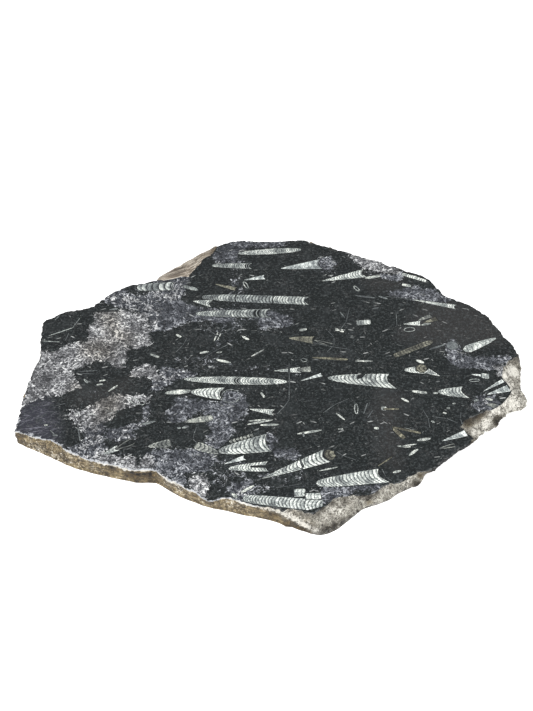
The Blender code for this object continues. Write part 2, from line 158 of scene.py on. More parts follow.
SHELLS = (
    # The far edge.
    Shell((238, 253.4), (301, 249.6), 10.0, "spindle"),
    Shell((212, 265.5), (252, 266), 10.5, "tube", 0.0, 0.86),
    Shell((281, 268.5), (321, 264), 18.0, "grey_cone"),
    Shell((322, 281), (365, 273), 14.5, "cone"),
    Shell((244, 280), (265, 277), 8.0, "grey_cone"),
    Shell((215, 284), (236, 289), 6.5, "brown_cone"),
    Shell((243.5, 281.5), (248, 288.5), 5.0, "ring"),
    Shell((183, 286), (198, 290), 6.0, "faint_needle"),
    Shell((365, 278), (380, 276), 5.0, "needle"),
    Shell((402, 273.8), (426, 281), 5.0, "comb"),
    Shell((137, 287.5), (174, 286), 14.5, "coarse_tube"),
    # The two long shells at the left. The first one is drawn in three stretches.
    Shell((202, 297), (237, 298.2), 12.8, "cut_tube"),
    Shell((235.5, 298.2), (275, 299.6), 13.2, "banded_tube"),
    Shell((273, 299.5), (309, 300.8), 13.6, "barrel"),
    Shell((193, 301), (212, 303.5), 12.5, "cone"),
    Shell((196, 313.6), (270.5, 313.2), 14.8, "tube", 0.0, 0.81),
    # The upper right.
    Shell((402, 284.5), (411, 286), 5.0, "chip"),
    Shell((412, 299.5), (456, 307), 7.5, "cone"),
    Shell((355, 295.5), (376, 298), 3.0, "grey_needle"),
    Shell((378, 296), (388, 299), 3.0, "grey_needle"),
    Shell((356.5, 323), (370.5, 321.8), 7.6, "block"),
    Shell((335.5, 328.5), (344, 332), 4.0, "needle"),
    Shell((403, 324), (422, 323.2), 8.5, "cone"),
    Shell((418, 320.5), (431, 315.5), 5.0, "dull_cone"),
    Shell((423, 323), (437, 318.5), 6.5, "brown_cone"),
    Shell((421, 325), (431, 323.5), 3.0, "needle"),
    Shell((404, 330), (415, 329), 8.0, "ring"),
    Shell((394, 356), (433, 341), 7.0, "cane"),
    Shell((429, 349.5), (445, 344.5), 3.0, "grey_needle"),
    Shell((446.5, 345.5), (458, 345.5), 13.5, "grey_disc"),
    Shell((496, 338), (464, 350.5), 12.0, "mottled_cone"),
    # The middle.
    Shell((289, 338), (314, 340), 12.0, "brown_cone"),
    Shell((314, 340), (335, 346), 6.0, "outline"),
    Shell((299, 330.5), (307, 329), 4.0, "needle"),
    Shell((335, 330), (343, 330), 3.0, "needle"),
    Shell((242, 336), (249, 340), 3.5, "needle"),
    Shell((251, 356.5), (264, 349.5), 2.2, "needle"),
    Shell((216, 359.5), (231, 362.8), 3.6, "needle"),
    Shell((274, 370.8), (301, 369.8), 9.0, "cone"),
    Shell((298, 370), (311, 369), 8.5, "dull_cone"),
    Shell((300, 381), (322, 374.5), 5.2, "grey_cone"),
    Shell((312, 357.5), (348, 359.5), 3.5, "brown_needle"),
    Shell((301, 359), (307, 361), 6.0, "ring"),
    Shell((184, 379.2), (287, 381.8), 11.6, "spindle", 0.0, 0.505),
    Shell((165, 393), (192, 391), 6.8, "needle"),
    Shell((191, 391.7), (224, 393.8), 19.0, "blunt_cone"),
    Shell((221.5, 396), (240, 396), 21.0, "ring"),
    Shell((328, 378), (393, 381), 22.5, "blunt_cone", 0.4),
    Shell((358, 378), (364, 374), 4.0, "gap"),
    Shell((355, 361), (373, 361), 2.5, "needle"),
    Shell((416, 360), (424, 363), 4.5, "needle"),
    Shell((404.5, 370), (427, 369.6), 13.5, "blunt_cone"),
    Shell((440, 376), (424, 369.5), 10.0, "cone"),
    Shell((416, 368.5), (426.5, 368.5), 12.0, "brown_disc"),
    Shell((438, 392), (466, 392), 17.5, "blunt_cone", 0.35),
    Shell((412, 391), (427, 393), 4.0, "chip"),
    Shell((471, 374.3), (484, 375.8), 4.6, "grey_cone"),
    Shell((481.5, 375.6), (489, 376.3), 7.5, "block"),
    Shell((483, 391.5), (505, 379.5), 5.5, "grey_cone"),
    Shell((487, 394.5), (511, 387.5), 10.5, "grey_cone"),
    Shell((485, 398.5), (493, 400), 3.4, "needle"),
    Shell((487, 404), (497, 406.5), 6.0, "dull_cone"),
    Shell((474, 401), (479, 399.5), 3.0, "faint_needle"),
    # The lower left and the middle.
    Shell((249, 409), (274.5, 412.5), 9.0, "cone"),
    Shell((248, 421), (274, 419.5), 2.6, "needle"),
    Shell((247, 424.5), (273, 419.8), 2.8, "needle"),
    Shell((260, 425), (279, 424.6), 3.2, "needle"),
    Shell((184, 422), (213, 417.5), 9.0, "dull_cone"),
    Shell((297, 434), (322, 430), 3.2, "needle"),
    Shell((219, 453.5), (195, 444.8), 11.0, "worn_cone"),
    Shell((218.5, 451.5), (269, 442.5), 25.0, "shallow_cone"),
    Shell((224, 464), (245, 457.5), 6.5, "grey_cone"),
    Shell((228.5, 468.6), (268.5, 466.3), 14.0, "blunt_cone"),
    Shell((251, 466.6), (271, 466.2), 2.2, "gap"),
    Shell((262, 478.5), (327.5, 455.4), 18.5, "cone"),
    Shell((325, 456), (334.5, 453.6), 14.0, "brown_disc"),
    Shell((319, 471), (338, 467), 2.0, "needle"),
    Shell((316.5, 483.7), (384, 475.2), 19.5, "stout_cone", 0.4),
    Shell((243, 498.2), (323.5, 506), 14.6, "stout"),
    Shell((294, 493), (305.5, 492.4), 10.0, "block"),
    Shell((305.5, 496.3), (321, 496), 8.2, "block"),
    Shell((232, 493), (237, 498), 4.0, "needle"),
    Shell((241, 492.5), (254, 485.5), 3.5, "needle"),
    # The star of needles, and loose pieces to its right.
    Shell((356, 403.5), (356.5, 414), 5.0, "ring"),
    Shell((363.5, 414), (367.5, 403), 1.8, "grey_needle"),
    Shell((367.5, 418), (373, 410), 1.8, "grey_needle"),
    Shell((336, 413), (345, 420), 2.2, "needle"),
    Shell((374, 428), (379, 428.5), 3.5, "chip"),
    Shell((338, 429), (343, 429), 2.2, "chip"),
    Shell((261, 392.5), (264.5, 397.5), 3.0, "chip"),
    Shell((393, 428), (404.5, 438.5), 5.0, "brown_needle"),
    Shell((403, 428.5), (411, 430), 3.2, "chip"),
    Shell((397, 446), (411, 446.8), 2.8, "needle"),
    Shell((381, 408.5), (387, 408.5), 6.0, "chip"),
    Shell((401, 398), (409, 402), 3.0, "needle"),
    Shell((384, 409), (399, 409), 2.5, "brown_needle"),
    Shell((392, 427), (421, 433), 3.0, "brown_needle"),
    Shell((417, 440.3), (431, 438.5), 4.0, "needle"),
    Shell((442, 441), (469, 432), 9.5, "grey_cone"),
    Shell((439, 448.5), (455, 445), 5.0, "outline"),
    Shell((409, 455.5), (418, 449), 3.5, "needle"),
    Shell((402, 446), (417, 444), 1.8, "needle"),
    Shell((469, 380.5), (480, 380), 5.0, "ring"),
    Shell((433, 393), (438, 393), 3.0, "chip"),
    Shell((452.5, 403.5), (455.5, 403.5), 2.2, "chip"),
    Shell((446.5, 408), (450, 408.5), 2.6, "chip"),
    Shell((443, 412.5), (446.5, 413.5), 2.4, "chip"),
    Shell((431, 421), (435, 422.5), 2.6, "needle"),
    Shell((372, 309), (379, 307.5), 3.0, "grey_needle"),
    Shell((340, 312), (345, 318), 2.2, "grey_needle"),
    Shell((354, 286), (359, 291), 5.0, "ring"),
    Shell((303, 433), (304, 437), 2.0, "grey_needle"),
    Shell((378, 466), (392, 457), 1.6, "brown_needle"),
    Shell((393, 472.6), (401, 470.5), 3.0, "needle"),
    # The left.
    Shell((141, 424.5), (156, 421.2), 3.0, "faint_needle"),
    Shell((104, 454), (118.5, 447.5), 7.5, "mottled_cone"),
    Shell((116, 449), (133.5, 440.8), 9.0, "outline"),
    Shell((148, 446.6), (171, 442.5), 9.5, "worn_cone"),
    Shell((48, 336), (75, 327), 1.5, "faint_needle"),
    Shell((73, 327), (80, 318), 1.3, "faint_needle"),
    Shell((41, 340.8), (60, 342), 1.4, "faint_needle"),
    Shell((109, 310), (118, 308.5), 3.0, "faint_needle"),
    Shell((65, 341), (69, 333), 1.4, "grey_needle"),
    Shell((55, 320), (60, 315), 1.4, "grey_needle"),
    Shell((78, 371.5), (98, 370.5), 1.4, "grey_needle"),
    Shell((80, 373.5), (95, 374), 1.2, "grey_needle"),
    Shell((99, 381), (106, 380), 2.4, "needle"),
    Shell((96, 385), (103, 384), 2.4, "needle"),
    Shell((108, 391.5), (118, 385), 2.4, "needle"),
    Shell((84, 379), (88, 383), 3.0, "ring"),
    Shell((130, 398.5), (140, 404), 8.0, "ring"),
    Shell((55, 406), (66, 403), 1.2, "grey_needle"),
    Shell((50, 430), (56, 436), 1.5, "grey_needle"),
    Shell((150, 354), (159, 357.2), 3.4, "chip"),
    Shell((176, 334.5), (181, 337), 3.2, "chip"),
    Shell((214, 341), (218, 332), 1.8, "needle"),
    Shell((217.5, 340), (221, 333), 1.8, "needle"),
    Shell((199.5, 353.3), (209, 351.3), 3.2, "needle"),
    Shell((216.5, 352.6), (222, 352), 2.4, "needle"),
    Shell((177, 428), (181, 428), 2.8, "faint_needle"),
    Shell((182, 428), (189, 426), 3.2, "faint_needle"),
    Shell((44, 425), (48, 425), 1.8, "chip"),
    Shell((52, 435), (58, 435.6), 2.6, "grey_needle"),
    Shell((139, 402.5), (145, 403), 7.0, "ring"),
    Shell((78, 428), (80, 441), 1.6, "hair"),
)

# Shells seen only as a hairline: each runs on through these pixels of the photograph.
HAIR_MM = 1.0
HAIRLINES = (
    ((289, 363), (289.3, 382), (289, 400), (284, 407), (277, 414)),
    ((196.5, 427), (194, 434), (193, 439), (196.5, 442.5)),
    ((323, 413), (335, 404.5), (349, 398.5)),
    ((199, 361), (213, 352), (228, 344.5)),
    ((204, 371.5), (214, 366.5)),
    ((327, 352), (334, 345), (334, 337), (328, 331)),
    ((276, 487.5), (289, 486), (302, 483.5)),
    ((336, 451.5), (344, 456), (356, 460)),
    ((382, 469), (386, 477), (392, 481)),
    ((385, 296.5), (398, 297.5), (412, 299.5)),
    ((432, 416.5), (447, 418.5), (458, 423)),
    ((423, 410), (428, 418), (430, 428)),
    ((313, 342.5), (328, 346), (350, 349.5)),
    ((396, 312), (397, 326)),
    ((461, 412), (460.5, 419), (462.5, 425), (467, 430)),
    ((205, 322), (210, 331), (219, 337)),
    ((176, 352), (183, 345), (187, 338)),
    ((300, 474), (303, 466), (299, 458)),
    ((340, 330), (346, 322), (349, 310)),
)

# A row of beads along the near side of a cone at the left.
BEADS = 7
BEADS_START = (229.0, 441.6)
BEADS_END = (250.0, 435.4)
BEAD_LENGTH = 3.4
BEAD_MM = 4.6


def all_shells():
    """The named shells, the hairlines' stretches and the beads."""
    shells = list(SHELLS)
    for line in HAIRLINES:
        shells += [Shell(start, end, HAIR_MM, "hair") for start, end in zip(line, line[1:])]
    start, end = Vector(BEADS_START), Vector(BEADS_END)
    for step in range(BEADS):
        tip = start.lerp(end, step / (BEADS - 1))
        shells.append(Shell(tip, (tip.x + BEAD_LENGTH, tip.y - 0.6), BEAD_MM, "dull_cone"))
    return shells


# A zone of the polished face: what it is full of, and its outline in pixels of the photograph. A later
# zone is painted over an earlier one.
Zone = namedtuple("Zone", "kind outline")

ZONES = (
    # Tints: brown at the right and in the pale hash, slate in the near left corner.
    Zone("brown", ((425, 298), (470, 304), (502, 328), (498, 344), (440, 346), (398, 338))),
    Zone("brown", ((384, 384), (402, 396), (398, 470), (380, 455), (372, 410))),
    Zone("brown", ((366, 278), (402, 277), (400, 291), (372, 290))),
    Zone("brown", ((84, 344), (100, 341), (112, 346), (112, 356), (96, 359), (85, 353))),
    Zone("brown", ((100, 314), (116, 313), (118, 328), (130, 336), (128, 345), (112, 336))),
    Zone("brown", ((74, 386), (98, 388), (130, 378), (128, 388), (98, 400), (74, 402))),
    Zone("brown", ((96, 398), (122, 393), (118, 414), (100, 420))),
    Zone("slate", ((12, 436), (16, 412), (36, 398), (48, 398), (52, 412), (58, 428), (56, 446), (36, 442))),
    # Grey shell hash along the far left edge, as far as the second long shell.
    Zone("mixed", ((100, 304), (112, 293), (122, 288), (152, 283), (158, 278), (190, 276), (187, 287),
                   (180, 301), (172, 306), (168, 316), (160, 330), (150, 335), (147, 321), (130, 310))),
    Zone("blue", ((166, 304), (180, 302), (192, 305), (204, 309), (240, 309), (262, 318), (240, 326),
                  (226, 330), (212, 326), (204, 322), (192, 320), (178, 326), (162, 332), (164, 318))),
    Zone("blue", ((262, 317), (272, 309), (282, 313), (293, 317), (291, 325), (274, 328), (248, 327))),
    Zone("blue", ((212, 256), (219, 246), (240, 238), (292, 240), (280, 247), (250, 248), (238, 252),
                  (238, 259), (247, 262), (242, 270), (228, 264), (217, 262))),
    Zone("wisps", ((228, 262), (246, 262), (247, 300), (262, 332), (234, 336), (228, 300))),
    Zone("blue", ((318, 258), (330, 257), (337, 263), (332, 270), (320, 270))),
    Zone("blue", ((366, 264), (384, 266), (404, 273), (398, 281), (380, 276), (368, 271))),
    Zone("pale", ((346, 252), (364, 255), (400, 266), (396, 274), (384, 273), (370, 270), (358, 265))),
    Zone("blue", ((384, 291), (400, 290), (412, 286), (434, 290), (454, 300), (440, 304), (414, 300),
                  (398, 298))),
    Zone("blue", ((445, 344), (452, 338), (460, 346), (464, 355), (488, 357), (508, 355), (516, 366),
                  (508, 376), (490, 371), (478, 367), (458, 369), (448, 360))),
    Zone("pale", ((494, 366), (512, 362), (520, 378), (506, 380), (498, 376))),
    Zone("mixed", ((472, 406), (480, 396), (494, 395), (500, 402), (492, 409), (478, 412))),
    # The pale hash of the left.
    Zone("pale", ((38, 353), (50, 350), (58, 349), (66, 344), (76, 342), (85, 341), (86, 330), (93, 322),
                  (89, 314), (104, 310), (132, 311), (146, 317), (149, 330), (151, 344), (141, 349),
                  (128, 347), (127, 360), (123, 371), (112, 370), (108, 362), (98, 361), (86, 366),
                  (74, 372), (78, 381), (86, 387), (70, 394), (45, 398), (30, 402), (16, 414), (24, 392))),
    Zone("mixed", ((124, 374), (130, 371), (148, 363), (158, 369), (172, 365), (182, 370), (202, 371),
                   (190, 378), (176, 379), (166, 386), (156, 393), (145, 392), (152, 383), (146, 377),
                   (126, 379))),
    Zone("pale", ((130, 373), (148, 364), (156, 368), (158, 376), (150, 378), (132, 379))),
    Zone("pale", ((68, 410), (84, 409), (98, 399), (120, 391), (130, 396), (151, 395), (150, 402),
                  (130, 407), (119, 412), (112, 419), (103, 426), (101, 440), (95, 447), (84, 444),
                  (79, 426), (70, 416))),
    Zone("mixed", ((80, 420), (92, 426), (106, 418), (104, 430), (101, 440), (95, 448), (84, 446))),
    Zone("mixed", ((142, 403), (150, 404), (148, 413), (146, 420), (150, 424), (134, 428), (133, 438),
                   (118, 441), (104, 439), (106, 430), (120, 427), (141, 419))),
    Zone("wisps", ((172, 338), (184, 342), (183, 360), (182, 372), (168, 368), (174, 352))),
    Zone("wisps", ((198, 320), (236, 322), (240, 345), (214, 352), (200, 340))),
    Zone("wisps", ((186, 346), (216, 350), (240, 356), (236, 368), (204, 372), (186, 366))),
    # Hash round the cones of the lower left, and along the near edge.
    Zone("blue", ((176, 398), (192, 399), (206, 401), (221, 402), (226, 392), (238, 391), (247, 399),
                  (248, 412), (240, 420), (232, 424), (236, 432), (222, 446), (208, 454), (203, 446),
                  (212, 432), (208, 424), (214, 418), (200, 412), (184, 420), (170, 425), (168, 412))),
    Zone("blue", ((264, 431), (271, 433), (280, 447), (294, 448), (301, 453), (294, 459), (280, 460),
                  (270, 450), (267, 440))),
    Zone("wisps", ((204, 452), (226, 452), (290, 470), (316, 470), (312, 488), (290, 494), (245, 498),
                   (205, 494), (206, 474))),
    Zone("mixed", ((66, 449), (82, 444), (104, 444), (108, 453), (134, 457), (146, 452), (160, 449),
                   (160, 460), (164, 472), (120, 472), (86, 462))),
    Zone("pale", ((96, 459), (104, 453), (120, 459), (136, 457), (150, 456), (152, 472), (116, 472))),
    Zone("wisps", ((226, 365), (262, 363), (300, 361), (300, 373), (262, 375), (228, 374))),
    Zone("blue", ((156, 451), (200, 449), (214, 456), (208, 472), (186, 474), (190, 492), (158, 470))),
    Zone("pale", ((188, 480), (196, 474), (207, 475), (209, 492), (203, 497), (192, 490))),
    Zone("blue", ((319, 489), (334, 487), (360, 485), (376, 483.5), (382, 489), (379, 493), (368, 490),
                  (345, 496), (333, 501), (321, 503))),
    Zone("mixed", ((236, 486), (252, 484), (252, 492), (240, 500), (232, 496))),
    # Dark stone between them.
    Zone("dark", ((38, 334), (44, 322), (60, 311), (97, 302), (117, 306), (114, 311), (92, 312), (94, 320),
                  (86, 328), (86, 339), (66, 344), (52, 350), (40, 346))),
    Zone("dark", ((73, 371), (84, 366), (100, 361.5), (109, 362), (112, 369), (124, 369), (129, 374),
                  (127, 381), (146, 377), (151, 381), (149, 389), (143, 394), (120, 394), (111, 388),
                  (100, 389), (86, 388), (79, 382))),
    Zone("dark", ((22, 409), (45, 398), (64, 396), (78, 389), (100, 389), (118, 392), (98, 400), (84, 408),
                  (66, 410))),
    Zone("wisps", ((80, 397), (92, 389), (106, 388), (106, 393), (94, 399), (82, 400))),
    Zone("dark", ((110, 422), (120, 412), (142, 406), (141, 418), (128, 423), (116, 426))),
    Zone("dark", ((124, 289), (133, 287), (138, 291), (150, 291), (150, 295), (134, 296))),
    Zone("dark", ((136, 452), (140, 452), (140, 470), (137, 470))),
)

# How much pale and how much blue-grey hash a kind of zone holds, or else how it tints what is there. The
# finish breaks a share between 0 and 1 up into wisps.
HASH_SHARES = {
    "pale": Vector((1.0, 0.0)),
    "mixed": Vector((0.42, 1.0)),
    "blue": Vector((0.0, 1.0)),
    "wisps": Vector((0.0, 0.31)),
    "dark": Vector((0.0, 0.0)),
}
TINTS = {"brown": 1.0, "slate": -1.0}
HASH_BLUR_MM = 12.0
TINT_BLUR_MM = 24.0

# The kinds of break round the rim, each from its angle in degrees on, anticlockwise from +X. The last number
# is how many degrees further on it starts at the back than at the face. The white bruise along the arris is
# strongest where the near wall is weathered.
BREAKS = (
    (-160.6, "weathered", 0.0),
    (-88.4, "pale", 13.0),
    (-44.3, "dark", 0.0),
    (-27.3, "pale", 0.0),
    (2.1, "dark", 0.0),
    (72.0, "weathered", 0.0),
    (110.7, "joint", 0.0),
    (137.3, "weathered", 0.0),
)
BREAK_BLEND = 2.5
BRUISED = (-164.0, -86.0)
BRUISE_ELSEWHERE = 0.3
ARRIS_MM = 4.0
JOINT_BEARING = math.radians(24.0)

# Stains, pits and painted shade of the rim, each round a pixel of the photograph. The pit tone is nearly
# black, and along the pale slope's foot it paints shade; "umber" is a dark brown, and "bright" is a clean
# chip.
Stain = namedtuple("Stain", "pixel radius tone strength")

STAIN_TONES = ("pit", "umber", "bright")
STAIN_SPREAD = 2.0


def chips_along(start, end, count, radius, strength):
    """A row of clean chips between two pixels."""
    start, end = Vector(start), Vector(end)
    places = [start.lerp(end, step / (count - 1)) for step in range(count)]
    return [Stain(place, radius, "bright", strength) for place in places]


STAINS = (
    # The near wall, from its left end.
    Stain((20, 438), 7.0, "umber", 0.45),
    Stain((38, 449), 11.0, "bright", 0.42),
    Stain((56, 456), 10.0, "bright", 0.4),
    Stain((72, 460), 9.0, "bright", 0.36),
    Stain((92, 467), 9.0, "bright", 0.28),
    Stain((112, 468), 13.0, "umber", 0.42),
    Stain((134, 474), 12.0, "umber", 0.6),
    Stain((150, 477), 12.0, "umber", 0.62),
    Stain((112, 467), 4.0, "pit", 0.7),
    Stain((132, 473), 2.1, "pit", 1.2),
    Stain((138, 473.6), 2.3, "pit", 1.4),
    Stain((144, 473.8), 2.2, "pit", 1.3),
    Stain((150, 473.6), 2.0, "pit", 1.2),
    Stain((167, 480), 11.0, "bright", 0.42),
    Stain((180, 487), 10.0, "bright", 0.4),
    Stain((232, 504), 9.0, "bright", 0.42),
    Stain((262, 508), 10.0, "umber", 0.55),
    Stain((276, 515), 12.0, "umber", 0.6),
    Stain((290, 521), 12.0, "umber", 0.75),
    Stain((304, 527), 12.0, "umber", 0.8),
    Stain((312, 528), 5.0, "pit", 0.6),
    # The white line where the pale slope meets the near wall.
    *chips_along((262, 507.5), (280, 511.5), 6, 2.6, 0.8),
    *chips_along((280, 511.5), (316, 530.5), 12, 3.3, 1.05),
    *chips_along((270, 507), (308, 522), 9, 3.2, 0.6),
    # The pale slope at the near right.
    Stain((322, 508), 4.0, "pit", 0.9),
    Stain((305, 513), 3.5, "pit", 0.6),
    Stain((318, 514.5), 3.5, "pit", 0.6),
    # Painted shade: these near-black spots darken the foot of the pale slope, where it meets the floor.
    Stain((326, 529), 5.0, "pit", 0.85),
    Stain((334, 526.5), 5.0, "pit", 0.8),
    Stain((342, 522), 4.5, "pit", 0.75),
    Stain((350, 517.5), 4.0, "pit", 0.7),
    Stain((358, 512), 3.5, "pit", 0.6),
    Stain((362, 495), 5.0, "pit", 0.9),
    Stain((369, 497), 4.5, "pit", 0.9),
    Stain((377, 492), 3.5, "pit", 0.8),
    Stain((369, 502), 5.0, "umber", 0.6),
    Stain((345, 500), 6.0, "pit", 0.55),
    Stain((332, 504), 5.0, "pit", 0.6),
    Stain((356, 505), 7.0, "pit", 0.42),
    Stain((366, 508), 6.0, "pit", 0.36),
    Stain((386, 497), 6.0, "pit", 0.4),
    Stain((398, 489), 6.0, "pit", 0.38),
    Stain((350, 511), 7.0, "pit", 0.34),
    Stain((331, 519), 7.0, "pit", 0.34),
    Stain((314, 517), 5.0, "pit", 0.42),
    Stain((333, 508.5), 6.0, "bright", 0.7),
    Stain((343, 511), 7.0, "bright", 0.55),
    Stain((352, 505), 6.0, "bright", 0.4),
    Stain((327, 518), 6.0, "bright", 0.5),
    Stain((416.5, 484), 4.5, "pit", 1.0),
    Stain((407, 481), 4.5, "bright", 0.6),
    Stain((420, 476), 3.0, "umber", 0.8),
    # The ledge at the right.
    Stain((466, 418), 8.0, "pit", 0.74),
    Stain((474, 415), 8.0, "pit", 0.78),
    Stain((482, 411.5), 6.0, "pit", 0.66),
    Stain((468, 420), 9.0, "umber", 0.9),
    Stain((478, 414), 9.0, "umber", 0.9),
    Stain((497.5, 421), 5.0, "pit", 1.3),
    Stain((501, 417.5), 3.0, "pit", 0.8),
    Stain((492, 427), 4.0, "pit", 0.5),
    Stain((514, 362.5), 6.0, "pit", 0.42),
    Stain((509, 361), 5.0, "pit", 0.36),
    Stain((519, 368), 2.5, "pit", 0.9),
    Stain((513, 371.5), 7.0, "bright", 1.2),
    Stain((504, 375), 6.0, "bright", 0.9),
    Stain((506, 385), 13.0, "bright", 0.95),
    Stain((503, 399), 13.0, "bright", 0.9),
    Stain((513, 402), 12.0, "bright", 0.8),
    Stain((495, 411), 8.0, "bright", 0.8),
    Stain((486, 424), 8.0, "bright", 0.8),
    Stain((475, 432), 6.0, "bright", 0.8),
    # The joint's far end.
    Stain((216, 248), 11.0, "umber", 0.8),
    Stain((203, 255), 11.0, "umber", 0.6),
    Stain((188, 264), 9.0, "umber", 0.3),
)

# The rim: how finely it is cut, how soon its roughness starts from the flats, how much smoother the joint
# face is, how far down the arris is chipped, how large its chips and nicks are, and how far inside the CAD
# slab's box it stays.
RIM_CUTS = 4
FLAT_BLEND_MM = 1.5
JOINT_SMOOTHNESS = 0.85
CHIPPED_MM = 4.0
CHIP_MM = 5.0
NICK_MM = 1.7
BOX_MARGIN = 0.2 * MM

# The face's mesh: how far apart its inner points are and how far from the rim, how clear of the rim the
# shells' patches stay, how far off the rim is looked for, and how near to each other or to the rim's edge
# points are taken as one.
FACE_SPACING_MM = 4.0
FACE_JITTER_MM = 1.0
JITTER_SEED = 7
INNER_CLEARANCE_MM = 2.0
RIM_CLEARANCE_MM = 0.7
REACH_MM = 2.0
PATCH_MARGIN_MM = 0.7
MERGE_MM = 0.0001
ON_EDGE_MM = 0.001
PATCH_STATIONS = (0.0, 0.04, 0.14, 0.32, 0.55, 0.8, 1.0)
PULL_MM = 0.6
LIP_MM = 2.0

# The map for baked textures: the polished face across its width, then the rim in strips, then the back.
MAP_WIDTH = 0.98
MAP_TOP = 0.995
STRIPS = 3
STRIPS_TOP = 0.236
STRIP_HEIGHT = 0.062
STRIP_FILL = 0.94
ROUND_FILL = 0.95
BACK_TOP = 0.044
BACK_BOTTOM = 0.004
UNROLL_STEPS = 120
UNROLL_OFFSET_MM = 6.0

# The rim is shaded smooth where its faces meet at less than this angle. The floor lies just under the slab.
SMOOTH_UNDER = math.radians(35.0)
FLOOR_WIDTH = 12.0
FLOOR_GAP = 0.5 * MM


class Finish:
    """A material, and the one method that adds a node to it."""

    def __init__(self, name):
        self.material = bpy.data.materials.new(name)
        self.material.use_nodes = True
        self.tree = self.material.node_tree
        self.shader = self.tree.nodes["Principled BSDF"]

    def node(self, kind, *values, output=None, settings=None, **named):
        """Adds a node: its settings, then its sockets in order or by name. Gives back one output."""
        made = self.tree.nodes.new("ShaderNode" + kind)
        for name, value in (settings or {}).items():
            if name == "stops":
                set_stops(made.color_ramp, value)
            else:
                setattr(made, name, value)
        sockets = [socket for socket in made.inputs if socket.enabled]
        for socket, value in zip(sockets, values):
            self.join(socket, value)
        by_name = {socket.name: socket for socket in sockets}
        for name, value in named.items():
            self.join(by_name[name.replace("_", " ")], value)
        outputs = {socket.name: socket for socket in made.outputs if socket.enabled}
        found = outputs[output] if output else next(iter(outputs.values()))
        return Wire(self, found)

    def join(self, socket, value):
        """Links a wire to a socket, or sets the socket's value. A colour is three numbers."""
        if isinstance(value, Wire):
            self.tree.links.new(value.socket, socket)
        elif socket.type == "RGBA":
            socket.default_value = (*value, 1.0)
        else:
            socket.default_value = value

    def surface(self, **named):
        """Gives the shader's own sockets their values or wires."""
        for name, value in named.items():
            self.join(self.shader.inputs[name.replace("_", " ")], value)

    def vector(self, operation, *values, **named):
        return self.node("VectorMath", *values, settings={"operation": operation}, **named)

    def mix(self, share, first, second):
        """A colour between two others."""
        return self.node("Mix", share, first, second, settings={"data_type": "RGBA"})

    def ramp(self, share, stops):
        """A colour that runs through these (place, colour) stops."""
        return self.node("ValToRGB", share, settings={"stops": stops})

    def carried(self, name):
        """The three numbers that the mesh carries under this name."""
        return self.node("Attribute", output="Vector", settings={"attribute_name": name}).parts()

    def noise(self, place, size, detail=2.0, output="Fac", roughness=0.5, distortion=0.0):
        """Soft noise whose lumps are about this many millimetres across."""
        return self.node(
            "TexNoise", output=output, Vector=place, Scale=1.0 / size, Detail=detail,
            Roughness=roughness, Distortion=distortion,
        )

    def wear(self, slab):
        slab.data.materials.append(self.material)


SOFTLY = {"interpolation_type": "SMOOTHSTEP"}


def forward(operation):
    """An operator on a wire and another wire or number."""
    return lambda wire, other: wire.math(operation, wire, other)


def reflected(operation):
    """The same operator where a number comes first."""
    return lambda wire, other: wire.math(operation, other, wire)


class Wire:
    """An output of a node, which takes part in sums: each operator adds a Math node."""

    def __init__(self, finish, socket):
        self.finish = finish
        self.socket = socket

    def math(self, operation, *values):
        return self.finish.node("Math", *values, settings={"operation": operation})

    __add__, __radd__ = forward("ADD"), reflected("ADD")
    __sub__, __rsub__ = forward("SUBTRACT"), reflected("SUBTRACT")
    __mul__, __rmul__ = forward("MULTIPLY"), reflected("MULTIPLY")
    __truediv__, __rtruediv__ = forward("DIVIDE"), reflected("DIVIDE")
    __pow__, __rpow__ = forward("POWER"), reflected("POWER")
    __lt__ = forward("LESS_THAN")
    __gt__ = forward("GREATER_THAN")
    at_least = forward("MAXIMUM")
    at_most = forward("MINIMUM")

    def __abs__(self):
        return self.math("ABSOLUTE", self)

    def floor(self):
        return self.math("FLOOR", self)

    def rise(self, start, end):
        """0 up to start, rising softly to 1 at end."""
        return self.finish.node("MapRange", self, start, end, 0.0, 1.0, settings=SOFTLY)

    def fall(self, start, end):
        """1 up to start, falling softly to 0 at end."""
        return self.finish.node("MapRange", self, start, end, 1.0, 0.0, settings=SOFTLY)

    def parts(self):
        """The three numbers of a vector or a colour."""
        split = self.finish.node("SeparateXYZ", self, output="X").socket.node
        return [Wire(self.finish, socket) for socket in split.outputs]


def set_stops(ramp, stops):
    """Give a colour ramp these (place, colour) stops."""
    while len(ramp.elements) < len(stops):
        ramp.elements.new(1.0)
    for element, (place, colour) in zip(ramp.elements, stops):
        element.position = place
        element.color = (*colour, 1.0)


def grey(level):
    return (level, level, level)


STONE_BLACK = (0.0078, 0.0100, 0.0104)
STONE_LIGHTER = (0.030, 0.034, 0.036)
STONE_BROWNER = (0.030, 0.0285, 0.0285)
STONE_SLATE = (0.034, 0.034, 0.046)
STONE_MOTTLE = (0.056, 0.064, 0.066)
SLATE_SCRATCH = (0.155, 0.155, 0.185)
SCRATCHES = ((8.0, 0.55), (-24.0, 0.59), (38.0, 0.59))

BRUISE = (0.46, 0.475, 0.50)
UMBER_STAIN = (0.33, 0.27, 0.175)
PIT_AND_SHADE_TONE = (0.085, 0.075, 0.06)

# What the calcite of the shells runs through, from its dark seams to its clean spar, how far the chambers
# crowd towards the tip, and the tints.
SPAR = (
    (0.0, (0.014, 0.016, 0.017)), (0.3, (0.095, 0.104, 0.108)),
    (0.6, (0.33, 0.36, 0.345)), (1.0, (0.86, 0.89, 0.83)),
)
CHAMBER_CROWDING = 0.85
UNTINTED = (1.0, 1.0, 1.0)
BROWN_TINT = (0.80, 0.69, 0.50)
SLATE_TINT = (0.90, 0.93, 1.0)
WARM_TINT = (1.0, 0.94, 0.84)

